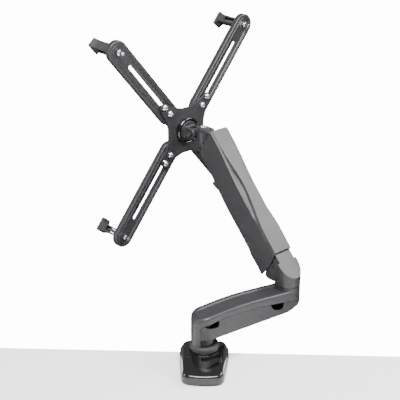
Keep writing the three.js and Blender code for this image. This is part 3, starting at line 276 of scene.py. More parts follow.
def finish_material(name, colour, roughness, worn_colour=None, grain=(0.4, 0.5), mottle=(30.0, 0.3), wear=0.4,
                    bump=0.1, rough_swing=0.15, **surface_values):
    """A finish: base colour with mottling and rubbed edges, and a fine bump."""
    made, tree, surface = shader(name, roughness, **surface_values)
    link = tree.links.new
    grain_node = node(tree, "ShaderNodeGroup", (-900, 0), node_tree=surface_grain)
    grain_node.inputs["Grain Size"].default_value = grain[0]
    grain_node.inputs["Grain Depth"].default_value = grain[1]
    grain_node.inputs["Mottle Size"].default_value = mottle[0]
    grain_node.inputs["Mottle"].default_value = mottle[1]
    wear_node = node(tree, "ShaderNodeGroup", (-900, -300), node_tree=worn_edge)
    wear_node.inputs["Amount"].default_value = wear
    tint = node(tree, "ShaderNodeVectorMath", (-600, 200), operation="SCALE")
    tint.inputs[0].default_value = colour
    link(grain_node.outputs["Shade"], tint.inputs["Scale"])
    rub = node(tree, "ShaderNodeMix", (-350, 200), data_type="RGBA")
    link(wear_node.outputs["Mask"], rub.inputs["Factor"])
    link(tint.outputs["Vector"], rub.inputs["A"])
    worn_colour = worn_colour or tuple(min(1.0, c * 3.0 + 0.02) for c in colour)
    rub.inputs["B"].default_value = (*worn_colour, 1.0)
    link(rub.outputs["Result"], surface.inputs["Base Color"])
    swing = node(tree, "ShaderNodeMath", (-600, -100), operation="MULTIPLY_ADD", use_clamp=True,
                 inputs={1: rough_swing / max(mottle[1], 0.01), 2: roughness})
    link(grain_node.outputs["Rough"], swing.inputs[0])
    link(swing.outputs[0], surface.inputs["Roughness"])
    relief = node(tree, "ShaderNodeBump", (-350, -300), inputs={"Strength": bump, "Distance": 0.0003})
    link(grain_node.outputs["Height"], relief.inputs["Height"])
    link(relief.outputs["Normal"], surface.inputs["Normal"])
    return made


board_finish = finish_material("pale_laminate", (0.86, 0.86, 0.86), 0.55, worn_colour=(0.9, 0.9, 0.9),
                               grain=(0.8, 0.3), mottle=(60.0, 0.02), wear=0.0, bump=0.03, rough_swing=0.02)
to_base = Matrix.Rotation(math.radians(-45), 4, "Z")
board_back, board_front, board_side, board_drop = 29.7, -2200, 2200, 25.0
board = linked("desk_board", prism("desk_board", [
    (-board_side, board_front), (board_side, board_front), (board_side, board_back), (-board_side, board_back)],
    "z", -board_drop, -0.1, to_base))
eased(board, 1.2)
board.data.materials.clear()
board.data.materials.append(board_finish)

# ---------------------------------------------------------------- base pad, foot plate and post
# A foam rubber pad keeps the steel foot plate off the desk. The plate's flange hangs behind the
# board edge, and the turned post stands in the middle. Both are coated black.
node_slot = {entry["node"]: entry["material_slot"] for entry in frame["record"]["subparts"]}
node_body = {name: body for body, names in frame["record"]["behaviour"]["bodies"].items() for name in names}


def fitted(piece, finish, body, slot, *nodes):
    """Gives a finished piece its finish and its place in the arm."""
    piece.data.materials.clear()
    piece.data.materials.append(finish)
    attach(piece, body)
    if nodes:
        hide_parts(*nodes)
    return piece


def dressed(name, finish, width, segments=3, angle=30):
    """A solid of the frame again with its flat faces whole, its edges rounded over and its finish on."""
    mesh = bpy.data.meshes.new(name + "_shaped")
    mesh.from_pydata(*[[tuple(v.co) for v in frame["nodes"][name].data.vertices], [],
                       [tuple(p.vertices) for p in frame["nodes"][name].data.polygons]])
    piece = linked(name + "_shaped", mesh)
    eased(piece, width, segments, angle)
    return fitted(piece, finish, node_body[name], node_slot[name], name)


rubber = finish_material("black_foam_rubber", (0.014, 0.014, 0.014), 0.85, grain=(0.35, 0.8),
                         mottle=(15.0, 0.4), wear=0.0, bump=0.35, rough_swing=0.08, specular=0.3)
black_steel = finish_material("black_coated_steel", (0.018, 0.018, 0.019), 0.38, worn_colour=(0.25, 0.25, 0.26),
                              grain=(0.5, 0.5), mottle=(25.0, 0.35), wear=0.35, bump=0.12, metallic=0.3)
dressed("base_pad", rubber, 0.5)
dressed("base_plate", black_steel, 0.6)
dressed("base_post", black_steel, 0.8)

# ---------------------------------------------------------------- cast base
# A die-cast aluminium foot with a satin black powder coat. Its footprint is a rounded trapezoid,
# a little wider at the back, and a thin step runs round it under the cover.
satin_black = finish_material("satin_black_powder_coat", (0.020, 0.020, 0.022), 0.42, grain=(0.55, 0.6),
                              mottle=(45.0, 0.35), wear=0.25, bump=0.22, rough_swing=0.10)
base_front, base_rear, front_half, rear_half = 69.0, 29.0, 33.0, 40.0


def curve(a, b, c, steps=10):
    """Points along a quadratic curve, without its last."""
    return [tuple((1 - t) ** 2 * Vector(a) + 2 * t * (1 - t) * Vector(b) + t * t * Vector(c))
            for t in (k / steps for k in range(steps))]


def footprint(inset):
    """The base's outline drawn in by an inset, with the clamp side at the top."""
    front, rear = -base_front + inset, base_rear - inset
    near, far = front_half - inset, rear_half - inset
    corner = max(16 - inset, 4)
    right = curve((near - corner, front), (near, front), (near + 1, front + corner))
    right += curve((near + 1, front + corner), (far, 0), (far, rear - corner))
    right += curve((far, rear - corner), (far, rear), (far - corner, rear))
    left = [(-x, y) for x, y in right]
    middle = curve((-near + corner, front), (0, front - 2.5), (near - corner, front))
    return middle + right + [(far - corner, rear)] + curve((-far + corner, rear), (-far, rear), (-far, rear - corner)) \
        + curve((-far, rear - corner), (-far, 0), (-near - 1, front + corner)) \
        + curve((-near - 1, front + corner), (-near, front), (-near + corner, front))


base_rings = [(0.6, 2.3), (0.0, 2.9), (0.0, 12.6), (0.3, 13.4), (1.1, 14.0)]
casting = loft("base_casting", [[(x, y, z) for x, y in footprint(i)] for i, z in base_rings], to_base)
casting = joined(casting, prism("pocket", footprint(6.7), "z", 0, 7.6, to_base))
casting = joined(casting, prism("flange_slot", [(-30.3, 10), (30.3, 10), (30.3, 38), (-30.3, 38)],
                                "z", 0, 7.6, to_base))
casting = joined(casting, prism("post_hole", circle(24.0), "z", 0, 20, to_base))
fitted(eased(linked("cast_base", casting), 0), satin_black, "base", "satin_black", "base_body")

# ---------------------------------------------------------------- base cover
# A polished black plastic cap over the cast base. It is level round the collar and falls in one
# plane towards the front, with steep narrow sides and a thin lip. It snaps on from above.
gloss_cover = finish_material("gloss_black_plastic", (0.003, 0.003, 0.003), 0.06, grain=(0.8, 0.2),
                              mottle=(20.0, 0.4), wear=0.1, bump=0.015, rough_swing=0.05, coat=0.8)
cover_top, cover_fall, lip_height = 28.0, 11.3, 15.2


def cover_height(y, rise, sink=0.0):
    """The cover's height where its side has risen so far: the lower of its side and its sloping top."""
    side = lip_height + rise
    top = cover_top - sink - cover_fall * max(0.0, -y - 24) / (base_front - 24)
    blend = max(0.0, 1 - abs(side - top) / 2.4)
    return min(side, top) - 0.6 * blend * blend


def cover_ring(inset, rise, sink=0.0):
    """One ring of the cover at an inset from its outline."""
    return [(x, y, cover_height(y, rise, sink)) for x, y in footprint(inset)]


def inward(share, sink=0.0):
    """A ring part way from the cover's shoulder to the post's hole."""
    shoulder = footprint(11)
    result = []
    for x, y in shoulder:
        far = math.hypot(x, y)
        reach = far + (16.6 - far) * share
        result.append((x * reach / far, y * reach / far, cover_height(y * reach / far, 99, sink)))
    return result


skirt_rings = [[(x, y, 14.3) for x, y in footprint(0.7)], [(x, y, 14.9) for x, y in footprint(0.3)],
               [(x, y, 15.4) for x, y in footprint(0.9)]]
side_rings = [cover_ring(0.9 + 10.1 * t, 13.2 * math.sin(t * math.pi / 2) ** 0.85)
              for t in (0.04, 0.1, 0.18, 0.28, 0.4, 0.52, 0.64, 0.76, 0.88, 1.0)]
inner_rings = [inward(t) for t in (0.15, 0.35, 0.6, 0.8, 1.0)]
under_rings = [inward(1.0, 2.5), inward(0.4, 2.5), inward(0.12, 2.5),
               [(x, y, min(14.4 + 6, cover_height(y, 99, 2.6))) for x, y in footprint(8)],
               [(x, y, 14.3) for x, y in footprint(3.6)]]
all_rings = skirt_rings + side_rings + inner_rings + under_rings
count = len(all_rings[0])
cover_faces = [(r * count + i, r * count + (i + 1) % count, ((r + 1) % len(all_rings)) * count + (i + 1) % count,
                ((r + 1) % len(all_rings)) * count + i) for r in range(len(all_rings)) for i in range(count)]
cover = linked("base_gloss_cover", skin("base_gloss_cover", [p for ring in all_rings for p in ring],
                                        cover_faces, to_base))
fitted(eased(cover, 0), gloss_cover, "base", "gloss_cover", "base_cover")

# ---------------------------------------------------------------- collar ring
# A moulded plastic ring that hides the foot of the post. It is turned to a soft shoulder and has
# a fine step where it meets the cover.
matte_plastic = finish_material("matte_black_plastic", (0.022, 0.022, 0.024), 0.55, grain=(0.45, 0.6),
                                mottle=(35.0, 0.3), wear=0.15, bump=0.18, rough_swing=0.08)


def turned(name, profile, axis_place=Matrix(), sides=96):
    """A closed profile of (radius, height) turned about its axis."""
    rings = [[(r * math.cos(2 * math.pi * i / sides), r * math.sin(2 * math.pi * i / sides), z)
              for i in range(sides)] for r, z in profile]
    count = len(rings)
    points = [p for ring in rings for p in ring]
    faces = [(r * sides + i, r * sides + (i + 1) % sides, ((r + 1) % count) * sides + (i + 1) % sides,
              ((r + 1) % count) * sides + i) for r in range(count) for i in range(sides)]
    return skin(name, points, faces, axis_place)


ring_profile = rounded([(16.6, 28.3), (23.4, 28.3), (23.4, 29.2), (24.0, 29.2), (24.0, 35.0), (22.4, 38.2),
                        (16.6, 38.2)], 0.8, 5)
fitted(eased(linked("collar", turned("collar", ring_profile)), 0), matte_plastic, "base", "matte_plastic",
       "collar_ring")

# ---------------------------------------------------------------- desk clamp
# A bent steel bracket, bolted to the foot plate's flange, with a threaded spindle that presses a
# rubber-faced disc up against the desk. The spindle is turned by a moulded knob.
bright_steel = finish_material("bright_plated_steel", (0.72, 0.73, 0.75), 0.22, worn_colour=(0.9, 0.9, 0.9),
                               grain=(0.25, 0.4), mottle=(4.0, 0.12), wear=0.3, bump=0.08, metallic=1.0)
dressed("clamp_bracket", satin_black, 0.9)
dressed("bracket_screw_1", bright_steel, 0.35)
dressed("bracket_screw_2", bright_steel, 0.35)
dressed("clamp_disc", bright_steel, 0.6)
dressed("clamp_knob", matte_plastic, 1.6, 4)
dressed("clamp_screw", bright_steel, 0.5)

# ---------------------------------------------------------------- lower arm
# A die-cast aluminium arm with a satin black powder coat. Its back is arched, with a shallow
# channel between two rounded rims, and its post end comes down in a skirt round the post.
lower_length, lower_radius = 163.0, 21.5
to_lower = Matrix.Rotation(math.radians(-11.3), 4, "Z")
back_line = [(-21.5, 84), (-12, 91), (15, 95), (50, 97.6), (80, 98), (120, 96.4), (145, 95), (190, 95)]
joint_line = [(-21.5, 75), (-6, 79.4), (18, 83.6), (54, 85.8), (90, 84.6), (125, 80.5), (184.5, 73.5)]


def height_at(line, x):
    """A smooth curve through points, read at a distance along the arm."""
    x = min(max(x, line[0][0]), line[-1][0])
    i = max(k for k in range(len(line) - 1) if line[k][0] <= x)
    (x0, z0), (x1, z1) = line[i], line[i + 1]
    slopes = []
    for k in (i, i + 1):
        a, b = line[max(k - 1, 0)], line[min(k + 1, len(line) - 1)]
        slopes.append((b[1] - a[1]) / (b[0] - a[0]) * (x1 - x0))
    t = (x - x0) / (x1 - x0)
    return ((2 * t ** 3 - 3 * t ** 2 + 1) * z0 + (t ** 3 - 2 * t ** 2 + t) * slopes[0]
            + (3 * t ** 2 - 2 * t ** 3) * z1 + (t ** 3 - t ** 2) * slopes[1])


def strip_ring(start, end, half, inset, height, arc=14, along=30):
    """A ring of points round a strip with round ends, drawn in by an inset, with a height at each."""
    result = []
    for k in range(arc + 1):
        angle = math.pi / 2 + math.pi * k / arc
        result.append((start, angle))
    result += [(start + (end - start) * k / along, 1.5 * math.pi) for k in range(1, along)]
    result += [(end, -math.pi / 2 + math.pi * k / arc) for k in range(arc + 1)]
    result += [(end + (start - end) * k / along, math.pi / 2) for k in range(1, along)]
    points = []
    for x, angle in result:
        outer = x + half * math.cos(angle)
        reach = max(0.0, half - (inset(outer) if callable(inset) else inset))
        px, py = x + reach * math.cos(angle), reach * math.sin(angle)
        points.append((px, py, height(px) if callable(height) else height))
    return points


def back_at(drop):
    return lambda x: height_at(back_line, x) - drop


edge = 4.6
arm_profile = [(0.0, 38.5)]
arm_profile += [(edge * (1 - math.cos(a)), back_at(edge * (1 - math.sin(a))))
                for a in (math.pi / 2 * k / 6 for k in range(7))]
arm_profile += [(8.2, back_at(0.0)), (9.0, back_at(0.15)), (9.9, back_at(0.9)), (10.8, back_at(1.65)),
                (11.6, back_at(1.8)), (16, back_at(1.8)), (21.5, back_at(1.8))]
arm_solid = loft("arm_solid", [strip_ring(0, lower_length, lower_radius, i, h) for i, h in
                               [(21.5, 38.5)] + arm_profile], to_lower, False)


def below_joint(start, bottom, drop, corner):
    """The outline under the joint line, from the skirt's upright edge to the elbow end."""
    line = [(x, height_at(joint_line, x) - drop) for x in
            [start + (184.5 - start) * k / 30 for k in range(31)]] + [(190, height_at(joint_line, 184.5) - drop)]
    return rounded([(start, bottom)] + [line[0]], 0, closed=False) + line[1:] + [(190, bottom)] if corner == 0 else \
        [(start, bottom)] + curve((start, line[0][1] - corner), line[0], line[1], 8) + line[1:] + [(190, bottom)]


boss = prism("boss", circle(21.4, lower_length, 0, 96), "z", 90, 98.9, to_lower)
arm_casting = joined(arm_solid, boss, "UNION")
arm_casting = joined(arm_casting, prism("below", below_joint(-15.6, 20, -0.35, 5.0), "y", -30, 30, to_lower))
cavity_rings = [strip_ring(0, lower_length, lower_radius, i, h) for i, h in
                [(21.5, 72), (3.5, 72), (3.5, back_at(9)), (6, back_at(5.4)), (21.5, back_at(5.2))]]
arm_casting = joined(arm_casting, loft("cavity", cavity_rings, to_lower, False))
arm_casting = joined(arm_casting, prism("post_bore", circle(16.6, 0, 0, 96), "z", 20, 80, to_lower))
post_sleeve = prism("sleeve", circle(14.2, 0, 0, 64), "z", 54.5, 92, to_lower)
elbow_sleeve = prism("sleeve_2", circle(13.0, lower_length, 0, 64), "z", 64, 96, to_lower)
arm_casting = joined(arm_casting, post_sleeve, "UNION")
arm_casting = joined(arm_casting, elbow_sleeve, "UNION")
arm_casting = joined(arm_casting, prism("post_neck", circle(12.3, 0, 0, 64), "z", 20, 87, to_lower))
arm_casting = joined(arm_casting, prism("pin_bore", circle(9.3, lower_length, 0, 64), "z", 50, 120, to_lower))
fitted(eased(linked("lower_arm_casting", arm_casting), 0.5, 3), satin_black, "lower_arm", "satin_black", "lower_arm")

# ---------------------------------------------------------------- cable cover of the lower arm
# A moulded plastic channel under the casting that hides the cables. Half-moon mouths at both ends
# let them in and out, and its lower edges are rounded, most of all round the elbow. It clips on.
under_post, under_elbow, cover_wall = 51.0, 57.0, 2.4


def under_at(lift):
    return lambda x: under_post + (under_elbow - under_post) * min(max(x / lower_length, 0), 1.02) + lift


def corner_at(x):
    t = min(max((x - lower_length + 14) / 22, 0.0), 1.0)
    return 2.6 + 9.4 * t * t * (3 - 2 * t)


def cover_solid(name, inset, lift, top):
    """The cover's outer or inner form, with a corner that grows towards the elbow."""
    rings = [strip_ring(0, lower_length, lower_radius, 21.5, under_at(lift))]
    for k in range(9):
        angle = math.pi / 2 * k / 8
        ring = []
        plan = strip_ring(0, lower_length, lower_radius, 0, 0)
        drawn = strip_ring(0, lower_length, lower_radius,
                           lambda x, a=angle: inset + (corner_at(x) - 0.6 * inset) * (1 - math.sin(a)), 0)
        for (x, _, _), (u, v, _) in zip(plan, drawn):
            ring.append((u, v, under_at(lift)(u) + (corner_at(x) - 0.6 * inset) * (1 - math.cos(angle))))
        rings.append(ring)
    rings += [strip_ring(0, lower_length, lower_radius, inset, top),
              strip_ring(0, lower_length, lower_radius, 21.5, top)]
    return loft(name, rings, to_lower, False)


channel = cover_solid("cable_channel", 0.0, 0.0, 100.0)
channel = joined(channel, prism("keep", below_joint(-15.2, 20, 0.25, 5.0), "y", -30, 30, to_lower), "INTERSECT")
channel = joined(channel, cover_solid("hollow", cover_wall, cover_wall, 110.0))
mouths = []
for from_x, to_x in ((-10.0, 15.0), (lower_length - 48, lower_length - 22)):
    floor = height_at(joint_line, to_x) - 12
    mouth = [(from_x, 100), (from_x, height_at(joint_line, from_x))]
    mouth += curve((from_x, height_at(joint_line, from_x)), (from_x + 5, floor), (to_x - 5, floor), 12)[1:]
    mouth += curve((to_x - 5, floor), (to_x, floor), (to_x, floor + 5), 8) + [(to_x, floor + 5), (to_x, 100)]
    channel = joined(channel, prism("mouth", mouth, "y", -30, 30, to_lower))
channel = joined(channel, prism("post_way", circle(16.6, 0, 0, 96), "z", 20, 90, to_lower))
fitted(eased(linked("lower_arm_cable_cover", channel), 0.45, 2), matte_plastic, "lower_arm", "matte_plastic",
       "lower_cable_cover")

# ---------------------------------------------------------------- elbow joint
# A turned steel pin stands in the casting and carries the yoke on a thin plastic washer.
dressed("elbow_pin", bright_steel, 0.4)
dressed("elbow_washer", matte_plastic, 0.25)

# ---------------------------------------------------------------- elbow yoke
# A die-cast fork on the elbow pin: a round barrel, cut back at 45 degrees behind the arm, and two
# cheeks that carry the pivot pins. Powder coated like the other castings.
elbow_x, elbow_y = 159.84, -31.94
at_elbow = Matrix.Translation((elbow_x, elbow_y, 0))
pivot_forward, pivot_z, link_pin, foot_pin = 24.0, 136.0, (27.0, 115.0), (18.0, 127.0)
yoke_solid = prism("yoke_solid", circle(21.5, 0, 0, 96), "z", 100.4, 152, at_elbow)
nose = rounded([(0, 102.4), (29, 102.4), (36, 106), (34.5, 119), (33.5, 145.5), (0, 145.5)],
               [0, 3, 6, 3, 9, 0], 8)
yoke_solid = joined(yoke_solid, prism("nose", nose, "x", -16.4, 16.4, at_elbow), "UNION")
slope_points = []
for along_slope in (-60.0, 60.0):
    ring = [(x, -0.0022 * x * x) for x in range(-24, 25, 2)] + [(24, 45), (-24, 45)]
    slope_points.append([(x, along_slope * math.sqrt(0.5) - n * math.sqrt(0.5),
                          139 + along_slope * math.sqrt(0.5) + n * math.sqrt(0.5)) for x, n in ring])
yoke_solid = joined(yoke_solid, loft("back_cut", slope_points, at_elbow))
for outline in ([(10.2, 104.4), (60, 104.4), (60, 134.8), (10.2, 134.8)],
                [(15, 104.4), (60, 104.4), (60, 172), (15, 172)]):
    yoke_solid = joined(yoke_solid, prism("slot", outline, "x", -12.6, 12.6, at_elbow))
for low, high in ((-40, -16.9), (16.9, 40)):
    yoke_solid = joined(yoke_solid, prism("relief", [(3, 103.0), (40, 103.0), (40, 170), (3, 170)],
                                          "x", low, high, at_elbow))
for (y, z), radius in (((pivot_forward, pivot_z), 4.3), (link_pin, 3.3), (foot_pin, 3.3)):
    yoke_solid = joined(yoke_solid, prism("pin_way", circle(radius, y, z, 40), "x", -40, 40, at_elbow))
yoke_solid = joined(yoke_solid, prism("pin_bore", circle(9.3, 0, 0, 64), "z", 90, 111.4, at_elbow))
fitted(eased(linked("yoke", yoke_solid), 0.8, 4), satin_black, "elbow", "satin_black", "elbow_yoke")
for name in ("main_pivot_pin_left", "main_pivot_pin_right", "lower_link_pin", "spring_foot_pin"):
    dressed(name, black_steel, 0.35)

# ---------------------------------------------------------------- spring arm cover
# A moulded shell over the spring arm, satin black, open underneath. Its top face narrows between
# two long scoops in its shoulders, its elbow end is raked and its sides draw in towards it.
rise = math.radians(48)
to_spring = Matrix.Translation((elbow_x, elbow_y + pivot_forward, pivot_z)) @ Matrix.Rotation(rise, 4, "X")


def ease(t):
    """A smooth step from 0 to 1."""
    t = min(max(t, 0.0), 1.0)
    return t * t * (3 - 2 * t)


def scoop(s):
    return ease((s - 34) / 90) - 0.70 * ease((s - 124) / 84)


def shell_half(s):
    return 19.2 + 0.8 * ease((s - 17.6) / 19.4)


def shell_under(s):
    return -31 - 2.4 * (1 - ease((s - 41) / 7)) - 1.6 * math.sin(math.pi * ease((s - 50) / 160)) \
        + 3 * ease((s - 120) / 90)


def shell_section(s, wall=0.0):
    """The shell's section from its left lower rim over the top to its right lower rim."""
    half, deep = shell_half(s), scoop(s)
    shoulder = 15.8 + 4.7 * ease((s - 125) / 80)
    flat, top = 18.8 - 9.6 * deep, 22.0
    half, shoulder, flat, top = half - wall, shoulder - 0.9 * wall, flat - 0.8 * wall, top - wall
    if wall == 0.0:
        sag = 3.6 * deep
        bend = [(half - (half - flat) * t - sag * math.sin(math.pi * t) * 0.6,
                 shoulder + (top - shoulder) * t - sag * math.sin(math.pi * t) * 0.8)
                for t in (0.12, 0.25, 0.4, 0.55, 0.7, 0.85, 0.95)]
    else:
        bend = [(half - (half - flat) * t, shoulder + (top - shoulder) * t)
                for t in (0.12, 0.25, 0.4, 0.55, 0.7, 0.85, 0.95)]
    under = shell_under(s)
    right = [(half - 0.2, under), (half, under + 0.5), (half, shoulder - 16), (half, shoulder - 1.0)]
    right += [(half - 0.1, shoulder - 0.3)] + bend + [(flat - 0.3, top - 0.03), (flat - 1.2, top)]
    right += [(flat * 0.5, top + (0.12 if wall == 0.0 else 0.0))]
    return [(-x, n) for x, n in right] + [(x, n) for x, n in reversed(right)]


def elbow_end(n):
    """Where the raked elbow end lies at a height, with its rounded lower corner."""
    straight = -13 + 21 * (n + 20) / 44
    lift = max(0.0, -21 - n)
    return straight + 0.058 * lift ** 2


def head_end(n):
    return 222 + 17.5 * max(0.0, (n + 26) / 50)


stations = [0.0, 0.004, 0.02, 0.05, 0.08] + [0.11 + 0.0297 * k for k in range(27)] + [0.92, 0.95, 0.975, 0.992, 1.0]


shell_points, shell_faces = [], []
width = len(shell_section(0.0))
for t in stations:
    nominal = 231 * t
    outer, inner = shell_section(nominal), shell_section(nominal, 2.2)
    for section in (outer, inner):
        for x, n in section:
            shell_points.append((x, elbow_end(n) + (head_end(n) - elbow_end(n)) * t, n))
for r in range(len(stations) - 1):
    a, b = r * 2 * width, (r + 1) * 2 * width
    for i in range(width - 1):
        shell_faces.append((a + i, a + i + 1, b + i + 1, b + i))
        shell_faces.append((a + width + i, b + width + i, b + width + i + 1, a + width + i + 1))
    shell_faces.append((a, b, b + width, a + width))
    shell_faces.append((a + width - 1, a + 2 * width - 1, b + 2 * width - 1, b + width - 1))
for a in (0, (len(stations) - 1) * 2 * width):
    shell_faces += [(a + i, a + i + 1, a + width + i + 1, a + width + i) for i in range(width - 1)]
shell = linked("spring_arm_shell", skin("spring_arm_shell", shell_points, shell_faces, to_spring))
fitted(eased(shell, 0.35, 2, 50), satin_black, "spring_arm", "satin_black", "spring_arm_cover")

# ---------------------------------------------------------------- links and gas spring
# Inside the shell: a folded steel upper link, a lower link that keeps the head level, and a gas
# spring between them. All coated black but for the spring's bright rod.
dressed("upper_link", black_steel, 0.5)
dressed("lower_link", black_steel, 0.4)
dressed("gas_spring_cylinder", black_steel, 0.5)
dressed("gas_spring_rod", bright_steel, 0.4)
dressed("spring_head_pin", black_steel, 0.35)
dressed("underside_cover", matte_plastic, 0.5)

# ---------------------------------------------------------------- head
# The head bracket is cast, with two ears round the swivel knuckle. A steel bolt with a flat
# polished head holds the knuckle, and the tilt bracket is drawn up on friction washers.
dressed("head_bracket", satin_black, 0.7, 4)
dressed("swivel_knuckle", satin_black, 0.6, 4)
dressed("tilt_bracket", satin_black, 0.8, 4)
for name in ("head_pin_upper", "head_pin_lower", "tilt_bolt"):
    dressed(name, black_steel, 0.35)
for name in ("tilt_washer_left", "tilt_washer_right"):
    dressed(name, matte_plastic, 0.2)
dressed("swivel_bolt", bright_steel, 0.35)
dressed("hub_bolt", bright_steel, 0.4)

# The hub is a moulded cup with a thick polished rim.
swivel_y, hub_z = 174.306, 305.039
at_hub = Matrix.Translation((elbow_x, swivel_y, hub_z)) @ Matrix.Rotation(math.radians(-90), 4, "X")
cup = rounded([(4.3, 40.1), (18.9, 40.1), (19.6, 37.0), (22.6, 36.0), (24.0, 38.5), (24.0, 43.3), (4.3, 43.3)],
              [0.1, 1.0, 1.2, 1.4, 1.2, 0.4, 0.1], 6)
fitted(eased(linked("hub_cup", turned("hub_cup", cup, at_hub)), 0), gloss_cover, "tilt", "gloss_cover", "hub_disc")

# ---------------------------------------------------------------- adapter plate
# A stamped steel plate with four rounded corners and hollow edges. Each corner has a round hole
# and an arc-shaped slot, which let the hook arms swing.
dressed("x_plate", satin_black, 0.5, 4)

# ---------------------------------------------------------------- hook arms
# Four pressed steel arms with a folded rim, a raised line inside each edge and a slotted middle.
# Screws through the slot clamp them to the plate, so that they slide and swing to suit a screen.
arm_near = swivel_y + 46.9
corners = {"upper_left": (-1, 1), "upper_right": (1, 1), "lower_left": (-1, -1), "lower_right": (1, -1)}
arm_half, arm_start, arm_end = 19.0, -4.0, 164.0
arm_section = [(19.0, 1.5), (9.6, 1.5), (9.1, 1.35), (8.6, 0.25), (8.1, 0.0), (7.3, 0.0), (6.9, 0.25), (6.6, 1.0),
               (6.1, 1.0), (5.7, 0.3), (5.3, 0.05), (2.2, 0.0), (1.2, 0.25), (0.4, 0.9), (0.0, 1.9), (0.0, 9.6),
               (0.3, 10.0), (2.2, 10.0), (2.5, 9.6), (2.5, 3.2), (3.1, 2.6), (7.6, 2.6), (8.2, 4.0), (19.0, 4.0)]


def hook_arm(name, place):
    """One pressed arm, its slot and its rod hole."""
    rings = []
    for inset, depth in arm_section:
        ring = strip_ring(arm_start, arm_end, arm_half, inset, 0, 20, 6)
        rings.append([(x, depth, z) for x, z, _ in ring])
    mesh = loft(name, rings, place, False)
    slot = [(126 + 3.3 * math.cos(a), 3.3 * math.sin(a)) for a in
            (math.pi * k / 12 - math.pi / 2 for k in range(13))]
    slot += [(-5.5 + 3.3 * math.cos(a), 3.3 * math.sin(a)) for a in
             (math.pi * k / 12 + math.pi / 2 for k in range(13))]
    mesh = joined(mesh, prism("slot", slot, "y", -5, 20, place))
    return joined(mesh, prism("rod_hole", circle(3.3, arm_end, 0, 32), "y", -5, 20, place))


arm_places = {}
for corner, (cx, cz) in corners.items():
    direction = math.atan2(cz * math.sin(math.radians(50.3)), cx * math.cos(math.radians(50.3)))
    arm_places[corner] = (Matrix.Translation((elbow_x + cx * 37.5, arm_near, hub_z + cz * 37.5))
                          @ Matrix.Rotation(-direction, 4, "Y"))
    made = linked("hook_arm_" + corner, hook_arm("hook_arm_" + corner, arm_places[corner]))
    fitted(eased(made, 0, flats=False), satin_black, "arm_" + corner, "satin_black", "adapter_arm_" + corner)

# ---------------------------------------------------------------- hooks
# A plated rod stands on each arm's tip and carries a moulded claw that grips the screen's edge.
# The claw is waisted, open at its sides, and has a lip at its far end.
claw_outline = rounded([(6.3, 10.3), (6.3, 33), (7.2, 50), (10.2, 59), (11.4, 62), (9.5, 66), (-11, 66), (-14.4, 65),
                        (-14, 60), (-10.5, 59), (-6.3, 57), (-6.3, 10.3)],
                       [0.8, 12, 8, 3, 2.4, 3, 3, 2.4, 2.4, 2, 4, 0.8], 6)
for corner in corners:
    place = arm_places[corner] @ Matrix.Translation((arm_end, 0, 0))
    claw = prism("claw", claw_outline, "z", -8, 8, place)
    claw = joined(claw, prism("seat", circle(7.0, 0, 0, 48), "y", 4.3, 13.3, place), "UNION")
    claw = joined(claw, prism("rod_way", circle(3.3, 0, 0, 32), "y", -5, 54.3, place))
    claw = joined(claw, prism("window", [(-3.6, 20.3), (3.6, 20.3), (3.6, 46), (-3.6, 46)], "z", -12, 12, place))
    fitted(eased(linked("claw_" + corner, claw), 1.3, 4, 35), matte_plastic, "hook_" + corner, "matte_plastic",
           "hook_claw_" + corner)
    dressed("hook_rod_" + corner, bright_steel, 0.4)

# ---------------------------------------------------------------- plate screws
# Plated pan-head screws with a hexagon socket clamp each arm to the plate, two to an arm.


